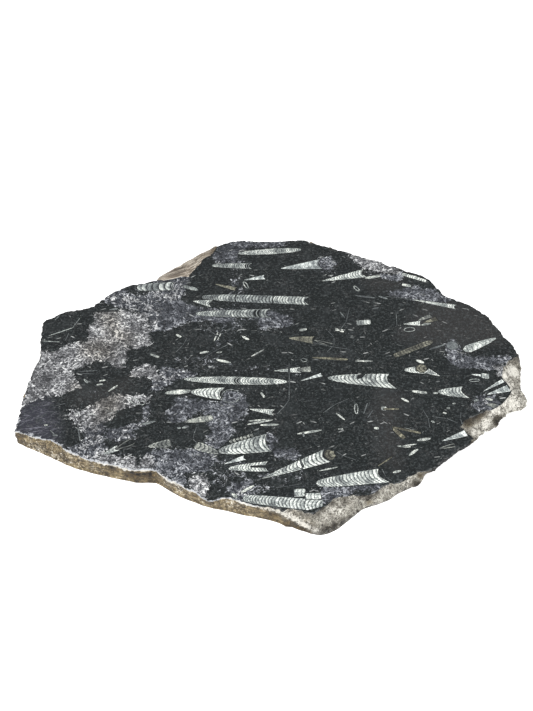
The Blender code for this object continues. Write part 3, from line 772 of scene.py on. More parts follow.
# The two kinds of shell hash, from their chinks to their brightest grains.
PALE_HASH = (
    (0.0, (0.022, 0.023, 0.025)), (0.25, (0.115, 0.117, 0.123)),
    (0.55, (0.36, 0.365, 0.375)), (1.0, (0.84, 0.85, 0.84)),
)
BLUE_HASH = (
    (0.0, (0.013, 0.0145, 0.017)), (0.3, (0.066, 0.071, 0.082)),
    (0.6, (0.185, 0.195, 0.215)), (1.0, (0.50, 0.515, 0.54)),
)

# The breaks, from their darkest grains to their brightest.
WEATHERED_WALL = (
    (0.0, (0.020, 0.015, 0.010)), (0.26, (0.066, 0.051, 0.030)),
    (0.55, (0.172, 0.132, 0.071)), (0.82, (0.305, 0.25, 0.15)), (1.0, (0.60, 0.545, 0.43)),
)
FRESH_BREAK = (
    (0.0, (0.030, 0.027, 0.022)), (0.25, (0.14, 0.131, 0.112)),
    (0.55, (0.34, 0.328, 0.285)), (1.0, (0.66, 0.65, 0.59)),
)
JOINT_FACE = (
    (0.0, (0.080, 0.063, 0.048)), (0.3, (0.205, 0.168, 0.128)),
    (0.6, (0.385, 0.328, 0.26)), (1.0, (0.66, 0.605, 0.52)),
)

# Loose slivers of shell in the black stone, from the largest to the finest, in millimetres. share is how
# many of their places are taken, and spread how far they turn, in radians.
Sliver = namedtuple("Sliver", "spacing length width share spread shift level")

SLIVERS = (
    Sliver(12.0, 8.5, 1.6, 0.26, 1.3, 3.7, 0.42),
    Sliver(6.5, 4.0, 1.2, 0.13, 2.6, 11.3, 0.26),
    Sliver(3.4, 2.2, 1.1, 0.10, 3.1, 23.9, 0.15),
    Sliver(2.6, 2.2, 1.0, 0.40, 3.1, 41.7, 0.05),
)

# Strokes of broken shell in the hash, in the same terms.
HASH_STROKES = (
    Sliver(5.2, 9.0, 1.3, 0.85, 2.4, 5.3, 0.84),
    Sliver(3.3, 5.2, 1.0, 0.85, 6.3, 17.9, 0.76),
)


def in_mm(finish):
    """The place on the stone in millimetres."""
    place = finish.node("TexCoord", output="Object")
    return finish.vector("SCALE", place, Scale=1.0 / MM)


def scattered(finish, place, sliver):
    """Loose slivers, one to a cell: how far inside one a place is, and how bright it is."""
    crowding = 1 / sliver.spacing
    shift = (sliver.shift, sliver.shift, 0.0)
    cells = finish.vector("MULTIPLY_ADD", place, (crowding, crowding, 0.0), shift)
    flat = {"voronoi_dimensions": "2D"}
    middle = finish.node("TexVoronoi", cells, output="Position", settings=flat, Scale=1.0)
    chance = finish.node("TexVoronoi", cells, output="Color", settings=flat, Scale=1.0)
    first, second, third = chance.parts()
    offset_x, offset_y, _ = finish.vector("SUBTRACT", cells, middle).parts()
    turn = (first - 0.5) * sliver.spread
    cosine = turn.math("COSINE", turn)
    sine = turn.math("SINE", turn)
    along = offset_x * cosine + offset_y * sine
    across = offset_y * cosine - offset_x * sine
    size = 0.5 + 0.5 * third
    half_length = size * (sliver.length / sliver.spacing / 2)
    half_width = size * (sliver.width / sliver.spacing / 2)
    reach = (along / half_length) ** 2 + (across / half_width) ** 2
    inside = reach.fall(0.6, 1.3) * (second < sliver.share)
    return inside, 0.3 + 0.7 * third


def streaks(finish, place, bearing, stretch, size, **settings):
    """Noise drawn out this many times along a bearing."""
    turned = finish.node(
        "Mapping", Vector=place, Rotation=(0.0, 0.0, bearing), Scale=(stretch, 1.0, 1.0),
        settings={"vector_type": "TEXTURE"},
    )
    return finish.noise(turned, size, **settings)


def stone_colour(finish, place, tint):
    """The black limestone itself, a little clouded and speckled."""
    brown = tint.at_least(0.0)
    slate = (0.0 - tint).at_least(0.0)
    clouds = finish.noise(place, 26.0, detail=6.0, roughness=0.65)
    stretched = finish.vector("MULTIPLY", place, (0.25, 1.0, 1.0))
    wisps = finish.noise(stretched, 2.4, detail=4.0, roughness=0.65)
    specks = finish.noise(place, 2.0, detail=2.0, roughness=0.7)
    lighter = clouds.rise(0.5, 0.72) * 0.5 + wisps.rise(0.5, 0.72) * 0.45
    dark = finish.mix(brown * 0.7, STONE_BLACK, STONE_BROWNER)
    dark = finish.mix(slate * 0.85, dark, STONE_SLATE)
    base = finish.mix(lighter, dark, STONE_LIGHTER)
    mottle = finish.noise(place, 3.2, detail=4.0, roughness=0.8)
    base = finish.mix(mottle.rise(0.49, 0.66) * 0.85, base, STONE_MOTTLE)
    field = finish.noise(finish.vector("ADD", place, (12.0, 77.0, 0.0)), 8.0, detail=3.0, roughness=0.6)
    kept = finish.noise(place, 15.0, detail=3.0, roughness=0.6).rise(0.5, 0.6)
    webs = abs(field - 0.5).fall(0.003, 0.014) * kept
    base = finish.mix(webs * 0.6, base, grey(0.10))
    kept_dull = 0.3 + 0.7 * mottle.rise(0.40, 0.6)
    for bearing, sparse in SCRATCHES:
        scratches = streaks(finish, place, math.radians(bearing), 9.0, 1.8, detail=3.0, roughness=0.7)
        drawn = scratches.rise(sparse, sparse + 0.1)
        base = finish.mix(drawn * kept_dull * slate, base, SLATE_SCRATCH)
    salt = specks.rise(0.6, 0.8) * (0.4 + 0.6 * lighter + 0.5 * brown)
    return finish.mix(salt.at_most(1.0), base, grey(0.095))


def hash_brightness(finish, place):
    """Broken shell packed tight: strokes and curls of shell with dark chinks, as a number from 0 to 1."""
    bent = finish.noise(place, 9.0, detail=2.0, output="Color")
    warped = finish.vector("MULTIPLY_ADD", bent, (8.0, 8.0, 0.0), place)
    grains = finish.node(
        "TexVoronoi", warped, output="Color",
        settings={"voronoi_dimensions": "2D"}, Scale=0.45,
    )
    grain, other, _ = grains.parts()
    flakes = finish.noise(warped, 3.0, detail=3.0, roughness=0.75)
    flaky = flakes.rise(0.43, 0.58)
    bright = (0.2 + 0.45 * grain + 0.25 * (other > 0.8)) * (0.22 + 0.7 * flaky)
    for stroke in HASH_STROKES:
        inside, level = scattered(finish, warped, stroke)
        bright = bright.at_least(inside * level * stroke.level)
    curl_field = finish.noise(place, 7.0, detail=1.5)
    curls = abs(curl_field - 0.5).fall(0.025, 0.065)
    beside_curls = abs(curl_field - 0.58).fall(0.015, 0.045)
    curled = (bright * (1.0 - 0.6 * beside_curls)).at_least(curls * (0.2 + 0.4 * flaky))
    patches = finish.noise(place, 15.0, detail=4.0, roughness=0.7).rise(0.36, 0.64)
    chinks = finish.noise(warped, 3.8, detail=3.0, roughness=0.7).fall(0.37, 0.46)
    return curled * (0.44 + 0.9 * patches) * (1.0 - 0.88 * chinks)


def shell_drawing(finish, place):
    """The shells: how much of one there is here, its brightness, its tint and the dark seam round it."""
    u, v, seed = finish.carried("shell_place")
    length, half, chambers = finish.carried("shell_size")
    belly, taper, mouth = finish.carried("shell_form")
    tint, bright, septa = finish.carried("shell_look")
    lean, hollow, gap = finish.carried("shell_more")
    ragged_x, ragged_y, ragged_z = finish.noise(place, 2.6, detail=3.0, output="Color").parts()
    wander = 0.55 + 0.11 * half
    u = u + (ragged_x - 0.5) * wander
    v = v + (ragged_y - 0.5) * wander
    share = u / length
    outline = half * share.at_least(0.0) ** belly * (1.0 - share).at_least(0.0001) ** taper
    across = (v / outline.at_least(0.05)).at_least(-1.2).at_most(1.2)
    bow = across * across
    sideways = (outline - abs(v)).rise(-0.12, 0.22)
    end = length - mouth * half * (1.0 - bow) - lean * v
    endways = (end - u).rise(-0.15, 0.25)
    amount = sideways * endways * (u > 0.0)

    bowed = (u - 0.42 * half * bow + lean * v) / length
    count = chambers * bowed.at_least(0.0) ** CHAMBER_CROWDING
    chamber = count.floor()
    within = count - chamber
    edge = within.at_most(1.0 - within)
    chances = finish.node(
        "TexWhiteNoise", output="Color", settings={"noise_dimensions": "2D"},
        Vector=finish.node("CombineXYZ", chamber, seed * 7.31, 0.0),
    )
    chance, thickness, _ = chances.parts()
    width = (0.03 + 0.09 * ragged_z) * (0.7 + 0.9 * thickness)
    septum = edge.fall(width * 0.6, width * 1.5)
    fade = 1.0 - 0.5 * within.rise(0.45, 1.0) * (septa > 0.5)
    spar = finish.noise(place, 2.0, detail=3.0, roughness=0.8).rise(0.41, 0.57)
    stretch = finish.noise(place, 12.0, detail=2.0, roughness=0.6).rise(0.36, 0.6)
    tone = (0.7 + 0.42 * chance) * (0.56 + 0.48 * spar) * (0.62 + 0.46 * stretch) * fade
    tone = tone * (1.0 - septa * septum)
    from_gap = abs(count - chambers * gap.at_least(0.0) ** CHAMBER_CROWDING)
    emptied = from_gap.fall(0.75, 0.95) * (gap > 0.0)
    arc = from_gap.fall(0.05, 0.2)
    tone = tone * (1.0 - emptied) + 0.7 * arc * emptied
    wall = (outline - abs(v)).fall(0.3, 0.8)
    tone = tone.at_least(wall * 0.75 * (0.45 + 0.55 * spar))
    inside = (outline - abs(v)).rise(0.8, 1.3) * hollow
    seam = (outline - abs(v)).rise(-1.1, -0.2) * (end + 0.9 > u) * (u > -0.8)
    return amount * (1.0 - inside), (tone * bright).at_most(1.0), tint, seam * (1.0 - inside)


def polished_finish():
    """The polished face: black stone, hash, slivers and shells under one high gloss."""
    finish = Finish("polished_limestone")
    place = in_mm(finish)
    pale, blue, tint = finish.carried("zones")
    flow = finish.vector("MULTIPLY", place, (0.65, 1.0, 1.0))
    texture = hash_brightness(finish, place)
    ragged = (finish.noise(flow, 10.0, detail=7.0, roughness=0.76) - 0.5) * 1.9 + (texture - 0.3) * 0.4
    pale_share = (pale + ragged * (pale > 0.01)).rise(0.43, 0.55)
    blue_share = (blue + ragged * (blue > 0.01)).rise(0.42, 0.60)
    slate = (0.0 - tint).at_least(0.0)

    colour = stone_colour(finish, place, tint)
    pale_colour = finish.ramp(texture, PALE_HASH)
    warmth = finish.mix(tint.at_least(0.0), UNTINTED, WARM_TINT)
    pale_colour = finish.vector("MULTIPLY", pale_colour, warmth)
    blue_colour = finish.ramp(texture, BLUE_HASH)
    colour = finish.mix(blue_share, colour, blue_colour)
    colour = finish.mix(pale_share, colour, pale_colour)

    crowd = finish.noise(finish.vector("ADD", place, (90.0, 50.0, 0.0)), 30.0, detail=3.0, roughness=0.6)
    crowded = (0.1 + 0.9 * crowd.rise(0.42, 0.62)) * (1.0 - 0.8 * slate)
    for sliver in SLIVERS:
        inside, bright = scattered(finish, place, sliver)
        level = sliver.level
        colour = finish.mix(inside * bright * crowded, colour, (level * 0.97, level, level * 0.98))

    amount, tone, shell_tint, seam = shell_drawing(finish, place)
    spar_colour = finish.ramp(tone, SPAR)
    stain = finish.mix((0.0 - shell_tint).at_least(0.0), UNTINTED, SLATE_TINT)
    stain = finish.mix(shell_tint.at_least(0.0), stain, BROWN_TINT)
    colour = finish.mix(seam * 0.85, colour, STONE_BLACK)
    colour = finish.mix(amount, colour, finish.vector("MULTIPLY", spar_colour, stain))

    edge, _, bruising = finish.carried("edge")
    nibbled = finish.noise(place, 4.0, detail=5.0, roughness=0.75) - 0.5
    waves = finish.noise(place, 24.0, detail=3.0, roughness=0.6)
    reach = (0.15 + 1.1 * waves) * bruising
    bruise = (edge * reach + nibbled * 2.6).rise(0.40, 0.60) * (edge > 0.08)
    bruise = bruise * (0.4 + 0.5 * bruising) * (bruising > 0.02)
    colour = finish.mix(bruise, colour, BRUISE)

    roughness = 0.17 + 0.45 * bruise + 0.08 * amount + 0.1 * pale_share + 0.06 * blue_share
    finish.surface(Base_Color=colour, Roughness=roughness, Specular_IOR_Level=0.32)
    return finish


def broken_finish():
    """The rim: weathered tan walls, pale fresh breaks, a streaked joint face and a bruised white arris."""
    finish = Finish("broken_limestone")
    place = in_mm(finish)
    pale, joint, dark = finish.carried("break_kind")
    _, arris, bruising = finish.carried("edge")
    pit, umber, bright = finish.carried("stains")
    _, _, level = place.parts()
    lumps = finish.noise(place, 11.0, detail=5.0, roughness=0.65)
    grit = finish.noise(place, 3.6, detail=5.0, roughness=0.78)
    grains = finish.noise(place, 1.5, detail=4.0, roughness=0.78)
    spots = finish.noise(finish.vector("ADD", place, (31.0, 17.0, 5.0)), 5.0, detail=4.0, roughness=0.7)
    weathered = finish.ramp((lumps * 0.3 + grit * 0.45 + grains * 0.25).rise(0.38, 0.63), WEATHERED_WALL)
    rust = spots.rise(0.55, 0.66)
    weathered = finish.mix(rust * 0.4, weathered, (0.30, 0.22, 0.115))
    flattened = finish.vector("MULTIPLY", place, (0.6, 0.6, 1.6))
    crack_field = finish.noise(flattened, 13.0, detail=4.0, roughness=0.6)
    cracks = abs(crack_field - 0.5).fall(0.008, 0.03)
    weathered = finish.mix(cracks * 0.85, weathered, (0.040, 0.030, 0.021))
    fresh = finish.ramp((grit * 0.4 + lumps * 0.15 + grains * 0.45).rise(0.41, 0.60), FRESH_BREAK)
    blotches = finish.noise(place, 13.0, detail=4.0, roughness=0.65).rise(0.47, 0.6)
    fresh = finish.mix(blotches * 0.4, fresh, (0.20, 0.185, 0.155))
    # Painted shade: the fresh break is darkened at its foot, near the back, where it meets the floor.
    foot = (level + (lumps - 0.5) * 12.0).fall(2.5, 7.5)
    fresh = finish.mix(foot * (0.35 + 0.6 * (grit < 0.5)), fresh, (0.062, 0.060, 0.055))
    under_edge = (level + (lumps - 0.5) * 14.0).rise(18.5, 21.0)
    fresh = finish.mix(under_edge * (grit < 0.5) * 0.7, fresh, (0.075, 0.070, 0.061))
    pitted = finish.noise(place, 2.8, detail=4.0, roughness=0.8).fall(0.40, 0.45)
    fresh = finish.mix(pitted * 0.95, fresh, (0.042, 0.038, 0.032))
    fresh = finish.mix(cracks * 0.6, fresh, (0.09, 0.08, 0.065))
    raw = finish.mix(grit.rise(0.42, 0.7), (0.016, 0.017, 0.018), (0.075, 0.073, 0.070))
    drawn = streaks(finish, place, JOINT_BEARING, 26.0, 2.6, detail=5.0, roughness=0.7)
    jointed = finish.ramp(drawn.rise(0.39, 0.61), JOINT_FACE)
    bruise = finish.mix(grains.rise(0.35, 0.55), (0.27, 0.25, 0.21), (0.60, 0.585, 0.54))
    colour = finish.mix(pale, weathered, fresh)
    colour = finish.mix(joint, colour, jointed)
    colour = finish.mix(dark, colour, raw)
    uneven = (grit - 0.5) * 2.3 + (grains - 0.5) * 2.6
    umber = (umber + uneven * 0.5).rise(0.15, 0.75) * (umber > 0.01)
    colour = finish.mix(umber, colour, finish.vector("MULTIPLY", colour, UMBER_STAIN))
    bright = (bright + uneven * 0.9).rise(0.3, 0.8) * (bright > 0.01)
    colour = finish.mix(bright * 0.75, colour, (0.68, 0.66, 0.60))
    waves = finish.noise(place, 24.0, detail=3.0, roughness=0.6)
    reach = (0.35 + 1.1 * waves) * bruising
    bruised = (arris * reach + (grit - 0.5) * 2.6).rise(0.36, 0.54) * (bruising > 0.02)
    colour = finish.mix(bruised, colour, bruise)
    # Near-black pits, and along the pale slope's foot painted shade.
    pit = (pit + uneven * 0.95).rise(0.4, 0.58) * (pit > 0.01)
    colour = finish.mix(pit, colour, finish.vector("MULTIPLY", colour, PIT_AND_SHADE_TONE))
    height = grains * 0.6 + finish.noise(place, 0.6, detail=3.0, roughness=0.7) * 0.4
    bump = finish.node("Bump", output="Normal", Strength=0.5, Distance=0.0006, Height=height)
    finish.surface(Base_Color=colour, Roughness=0.75 + 0.2 * grains, Normal=bump)
    return finish


def sawn_finish():
    """The sawn back: dull grey stone with the saw's shallow arcs."""
    finish = Finish("sawn_limestone")
    place = in_mm(finish)
    far = finish.vector("LENGTH", finish.vector("SUBTRACT", place, (-700.0, 900.0, 0.0)), output="Value")
    arcs = finish.noise(finish.node("CombineXYZ", far, 0.0, 0.0), 2.2, detail=4.0, roughness=0.7)
    clouds = finish.noise(place, 30.0, detail=5.0, roughness=0.6)
    dust = (clouds * 0.6 + arcs * 0.4).rise(0.35, 0.7)
    colour = finish.mix(dust, (0.045, 0.046, 0.047), (0.15, 0.15, 0.145))
    bump = finish.node("Bump", output="Normal", Strength=0.6, Distance=0.0003, Height=arcs)
    finish.surface(Base_Color=colour, Roughness=0.62 + 0.2 * dust, Normal=bump)
    return finish


def only_active(thing):
    bpy.ops.object.select_all(action="DESELECT")
    thing.select_set(True)
    bpy.context.view_layer.objects.active = thing


def rim_copy():
    """A copy of the CAD slab, merged, without its two flat faces, and cut finely."""
    slab = bpy.data.objects.new("orthoceras_slab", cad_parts["fossil_slab"].data.copy())
    bpy.context.scene.collection.objects.link(slab)
    slab.data.materials.clear()
    only_active(slab)
    bpy.ops.object.mode_set(mode="EDIT")
    bpy.ops.mesh.select_all(action="SELECT")
    bpy.ops.mesh.remove_doubles(threshold=SAME_PLACE)
    bpy.ops.mesh.select_all(action="DESELECT")
    mesh = bmesh.from_edit_mesh(slab.data)
    for face in mesh.faces:
        levels = {round(vert.co.z / MM, 2) for vert in face.verts}
        face.select_set(levels in ({0.0}, {round(FACE_LEVEL / MM, 2)}))
    bmesh.update_edit_mesh(slab.data)
    bpy.ops.mesh.delete(type="FACE")
    bpy.ops.mesh.select_all(action="SELECT")
    bpy.ops.mesh.subdivide(number_cuts=RIM_CUTS)
    bpy.ops.object.mode_set(mode="OBJECT")
    return slab


def break_shares(place):
    """How much of each kind of break there is at a place of the rim."""
    angle = bearing_of(place)
    shares = dict.fromkeys(("weathered", "pale", "joint", "dark"), 0.0)
    deep = 0.5 - place.z / FACE_LEVEL
    for index, (start, kind, slant) in enumerate(BREAKS):
        end, _, end_slant = BREAKS[(index + 1) % len(BREAKS)]
        start += slant * deep
        end += end_slant * deep
        if end < start:
            end += 360.0
        for turn in (0.0, 360.0):
            inside = min(angle + turn - start, end - angle - turn)
            shares[kind] += clamp(0.5 + inside / BREAK_BLEND / 2)
    whole = sum(shares.values()) or 1.0
    return {kind: share / whole for kind, share in shares.items()}


def bruise_share(place):
    """How strongly the arris is bruised white at a place of the rim."""
    shares = break_shares(place)
    angle = bearing_of(place)
    if BRUISED[0] < angle < BRUISED[1]:
        return shares["weathered"]
    return BRUISE_ELSEWHERE * shares["weathered"]


def away_from_flats(place):
    """0 at the polished face's edge and at the back, 1 from a little way in."""
    near = min(FACE_LEVEL - place.z, place.z) / MM
    return clamp(near / FLAT_BLEND_MM)


def weigh(slab, name, weight_at):
    """Make a vertex group whose weights fade out at the two flat faces."""
    group = slab.vertex_groups.new(name=name)
    for vert in slab.data.vertices:
        group.add([vert.index], away_from_flats(vert.co) * weight_at(vert.co), "REPLACE")


def roughen(slab, name, kind, size_mm, depth_mm, group, **settings):
    """Press a pattern into the rim where a group says."""
    texture = bpy.data.textures.new(name, kind)
    texture.noise_scale = size_mm * MM
    for setting, value in settings.items():
        setattr(texture, setting, value)
    press = slab.modifiers.new(name, "DISPLACE")
    press.texture = texture
    press.texture_coords = "LOCAL"
    press.strength = depth_mm * MM
    press.mid_level = 0.75
    press.vertex_group = group
    bpy.ops.object.modifier_apply(modifier=name)


def break_rim(slab):
    """Roughen the rim, then chip the arris, and keep all of it inside the CAD slab's box."""
    only_active(slab)
    levels = [vert.co.z for vert in slab.data.vertices]
    weigh(slab, "rough", lambda place: 1.0 - JOINT_SMOOTHNESS * break_shares(place)["joint"])
    weigh(slab, "pale", lambda place: break_shares(place)["pale"])
    roughen(slab, "lumps", "CLOUDS", 7.0, 2.4, "rough", noise_depth=3)
    roughen(slab, "flakes", "VORONOI", 5.0, 1.4, "rough")
    roughen(slab, "hackle", "CLOUDS", 2.4, 1.1, "rough", noise_depth=2)
    roughen(slab, "pits", "VORONOI", 3.2, 1.2, "pale")
    outwards = [Vector((vert.normal.x, vert.normal.y, 0.0)) for vert in slab.data.vertices]
    for vert, outward, level in zip(slab.data.vertices, outwards, levels):
        place = vert.co.copy()
        depth = (FACE_LEVEL - place.z) / MM
        if depth < CHIPPED_MM and outward.length > 0.01:
            flat = Vector((place.x, place.y, 0.0)) / MM
            chip = 3.0 * max(noise.noise(flat / CHIP_MM) - 0.05, 0.0)
            chip += 0.9 * max(noise.noise(flat / NICK_MM), 0.0)
            place = place - outward.normalized() * chip * MM * (1.0 - depth / CHIPPED_MM)
        place.x = clamp(place.x, low.x + BOX_MARGIN, high.x - BOX_MARGIN)
        place.y = clamp(place.y, low.y + BOX_MARGIN, high.y - BOX_MARGIN)
        on_ring = level < SAME_PLACE or level > FACE_LEVEL - SAME_PLACE
        place.z = level if on_ring else clamp(place.z, BOX_MARGIN, FACE_LEVEL - BOX_MARGIN)
        vert.co = place


def ring_at(mesh, level):
    """The rim's open edge at a level, in order, anticlockwise from above."""
    edges = [
        edge for edge in mesh.edges
        if edge.is_boundary and all(abs(vert.co.z - level) < SAME_PLACE for vert in edge.verts)
    ]
    neighbours = {}
    for edge in edges:
        first, second = edge.verts
        neighbours.setdefault(first, []).append(second)
        neighbours.setdefault(second, []).append(first)
    start = edges[0].verts[0]
    ring = [start, neighbours[start][0]]
    while True:
        ahead = [vert for vert in neighbours[ring[-1]] if vert is not ring[-2]]
        if ahead[0] is start:
            break
        ring.append(ahead[0])
    turning = sum(a.co.x * b.co.y - b.co.x * a.co.y for a, b in zip(ring, ring[1:] + ring[:1]))
    return ring if turning > 0 else ring[::-1]


class Outline:
    """A closed outline on the polished face, for telling how far inside it a point is, in millimetres."""

    def __init__(self, points):
        self.points = points
        self.sides = list(zip(points, points[1:] + points[:1]))
        self.left = min(point.x for point in points)
        self.right = max(point.x for point in points)
        self.near = min(point.y for point in points)
        self.far = max(point.y for point in points)

    def depth(self, point, reach):
        """How far inside the outline a point is, as far as this reach. Outside it is negative."""
        if not (self.left - reach < point.x < self.right + reach):
            return -reach
        if not (self.near - reach < point.y < self.far + reach):
            return -reach
        nearest = reach
        inside = False
        for start, end in self.sides:
            if (start.y > point.y) != (end.y > point.y):
                if point.x < start.x + (end.x - start.x) * (point.y - start.y) / (end.y - start.y):
                    inside = not inside
            beside = min(start.x, end.x) - reach < point.x < max(start.x, end.x) + reach
            if beside and min(start.y, end.y) - reach < point.y < max(start.y, end.y) + reach:
                _, share = geometry.intersect_point_line(point, start, end)
                foot = start.lerp(end, clamp(share))
                nearest = min(nearest, (foot - point).length)
        return nearest if inside else -nearest


class Patch:
    """A shell's own patch of the polished face, with the numbers that its corners carry."""

    def __init__(self, shell, seed):
        self.kind = KINDS[shell.kind]
        self.lean = shell.lean
        self.gap = shell.gap
        self.seed = seed
        self.start = on_face(shell.tip)
        along = on_face(shell.mouth) - self.start
        self.length = along.length
        self.along = along.normalized()
        self.across = Vector((-self.along.y, self.along.x))
        self.half = shell.across / 2 / self.widest()
        self.chambers = self.length / (self.kind.pitch * shell.across)

    def profile(self, share):
        return share ** self.kind.belly * (1 - share) ** self.kind.taper

    def widest(self):
        return max(self.profile(step / 40) for step in range(1, 41))

    def point(self, u, v):
        return self.start + self.along * u + self.across * v

    def pulled_in(self, u, width, outline):
        """The patch's corner this far across, or else as far across as the face reaches."""
        step = math.copysign(PULL_MM, width)
        while abs(width) > PULL_MM and outline.depth(self.point(u, width), REACH_MM) < RIM_CLEARANCE_MM:
            width -= step
        return self.point(u, width)

    def polygon(self, first, last, outline):
        """The patch between two shares of the shell's length, a little wider than the shell."""
        left, right = [], []
        for station in PATCH_STATIONS:
            share = first + (last - first) * station
            inner = clamp(share)
            width = self.half * self.profile(max(inner, 0.02)) + PATCH_MARGIN_MM + 0.05 * self.half
            left.append(self.pulled_in(share * self.length, width, outline))
            right.append(self.pulled_in(share * self.length, -width, outline))
        return right + left[::-1]

    def fitted(self, outline):
        """The longest patch that lies inside the face, or None."""
        lip = abs(self.lean) * self.half + LIP_MM
        step = 1.0 / self.length
        first = -step
        last = 1.0 + lip / self.length
        while last - first > 4 * step:
            corners = self.polygon(first, last, outline)
            half = len(corners) // 2
            held = [outline.depth(corner, REACH_MM) > 0.9 * RIM_CLEARANCE_MM for corner in corners]
            if all(held):
                return corners
            starts = held[: half // 2] + held[-(half // 2):]
            if not all(starts):
                first += step
            else:
                last -= step
        return None

    def numbers(self, point):
        """What a corner of this patch carries, attribute by attribute."""
        offset = point - self.start
        kind = self.kind
        return {
            "shell_place": (offset.dot(self.along), offset.dot(self.across), self.seed),
            "shell_size": (self.length, self.half, self.chambers),
            "shell_form": (kind.belly, kind.taper, kind.mouth),
            "shell_look": (kind.tint, kind.bright, kind.septa),
            "shell_more": (self.lean, kind.hollow, self.gap),
        }


NO_SHELL = {
    "shell_place": (-100.0, 0.0, 0.0),
    "shell_size": (1.0, 1.0, 1.0),
    "shell_form": (1.0, 0.0, 0.0),
    "shell_look": (0.0, 0.0, 0.0),
    "shell_more": (0.0, 0.0, -1.0),
}


ZONE_OUTLINES = [(zone.kind, Outline([on_face(pixel) for pixel in zone.outline])) for zone in ZONES]


def zone_colour(point):
    """What the face is full of at a point: its shares of pale and of blue-grey hash, and its tint."""
    shares = Vector((0.0, 0.0))
    tint = 0.0
    for kind, outline in ZONE_OUTLINES:
        blur = TINT_BLUR_MM if kind in TINTS else HASH_BLUR_MM
        amount = 0.5 + outline.depth(point, blur / 2) / blur
        if kind in TINTS:
            tint += (TINTS[kind] - tint) * amount
        else:
            shares = shares.lerp(HASH_SHARES[kind], amount)
    return (shares.x, shares.y, tint)


def inner_points(outline):
    """Points of a loose grid well inside the face."""
    draw = random.Random(JITTER_SEED)
    columns = int((outline.right - outline.left) / FACE_SPACING_MM)
    rows = int((outline.far - outline.near) / FACE_SPACING_MM)
    points = []
    for row in range(1, rows):
        for column in range(1, columns):
            point = Vector((
                outline.left + column * FACE_SPACING_MM + draw.uniform(-FACE_JITTER_MM, FACE_JITTER_MM),
                outline.near + row * FACE_SPACING_MM + draw.uniform(-FACE_JITTER_MM, FACE_JITTER_MM),
            ))
            if outline.depth(point, FACE_SPACING_MM) > INNER_CLEARANCE_MM:
                points.append(point)
    return points


def split_side(sides, place):
    """Gives the rim's edge a corner at a place on it, or gives None where the place isn't on that edge."""
    for index, (start, end) in enumerate(zip(sides, sides[1:] + sides[:1])):
        first, last = start.co.xy / MM, end.co.xy / MM
        _, share = geometry.intersect_point_line(place, first, last)
        if 0.0 < share < 1.0 and (first.lerp(last, share) - place).length < ON_EDGE_MM:
            side = next(edge for edge in start.link_edges if edge.other_vert(start) == end)
            _, corner = bmesh.utils.edge_split(side, start, share)
            sides.insert(index + 1, corner)
            return corner
    return None


def lay_face(mesh, ring):
    """Fill the polished face with triangles that follow the shells' patches. Gives each face's patch."""
    outline = Outline([vert.co.xy / MM for vert in ring])
    points = list(outline.points)
    loops = [list(range(len(points)))]
    patches = []
    for index, shell in enumerate(all_shells()):
        patch = Patch(shell, index + 1.0)
        corners = patch.fitted(outline)
        if corners:
            loops.append(list(range(len(points), len(points) + len(corners))))
            points.extend(corners)
            patches.append(patch)
    points.extend(inner_points(outline))
    places, _, triangles, from_points, _, from_loops = geometry.delaunay_2d_cdt(
        points, [], loops, 1, MERGE_MM
    )
    verts = []
    sides = list(ring)
    for place, sources in zip(places, from_points):
        known = [source for source in sources if source < len(ring)]
        if known:
            verts.append(ring[known[0]])
        else:
            crossing = None if sources else split_side(sides, place)
            verts.append(crossing or mesh.verts.new((place.x * MM, place.y * MM, FACE_LEVEL)))
    owners = []
    for triangle, sources in zip(triangles, from_loops):
        if 0 in sources:
            face = mesh.faces.new([verts[corner] for corner in triangle])
            face.material_index = 1
            topmost = max(sources)
            owners.append(patches[topmost - 1] if topmost else None)
    return owners


def close_slab(slab):
    """Lay the polished face and the sawn back into the rim, and give the face its numbers."""
    mesh = bmesh.new()
    mesh.from_mesh(slab.data)
    top_ring = ring_at(mesh, FACE_LEVEL)
    back_ring = ring_at(mesh, 0.0)
    rim_faces = len(mesh.faces)
    owners = lay_face(mesh, top_ring)
    back = mesh.faces.new(back_ring[::-1])
    back.material_index = 2
    bmesh.ops.recalc_face_normals(mesh, faces=mesh.faces)
    loose = [vert for vert in mesh.verts if not vert.link_faces]
    bmesh.ops.delete(mesh, geom=loose, context="VERTS")
    mesh.to_mesh(slab.data)
    mesh.free()
    carry_numbers(slab.data, rim_faces, owners)
    lay_texture_map(slab.data, rim_faces)


def rim_vertices(data, rim_faces):
    """The vertices of the rim, whose faces come first in the mesh."""
    return {vertex for polygon in data.polygons[:rim_faces] for vertex in polygon.vertices}


def write_vectors(data, name, domain, vectors):
    layer = data.attributes.new(name, "FLOAT_VECTOR", domain)
    layer.data.foreach_set("vector", [number for vector in vectors for number in vector])


def stains_on(data):
    """How much of each tone of stain there is at each point."""
    places = [vert.co.copy() for vert in data.vertices]
    surface = BVHTree.FromPolygons(places, [polygon.vertices for polygon in data.polygons])
    nearby = KDTree(len(places))
    for index, place in enumerate(places):
        nearby.insert(place, index)
    nearby.balance()
    amounts = [[0.0, 0.0, 0.0] for _ in places]
    for stain in STAINS:
        middle = surface.ray_cast(CAMERA_PLACE, sight_through(stain.pixel))[0]
        if middle is None:
            continue
        tone = STAIN_TONES.index(stain.tone)
        reach = stain.radius * STAIN_SPREAD * MM
        for _, index, distance in nearby.find_range(middle, reach):
            amount = stain.strength * (1.0 - distance / reach)
            amounts[index][tone] = max(amounts[index][tone], amount)
    return amounts


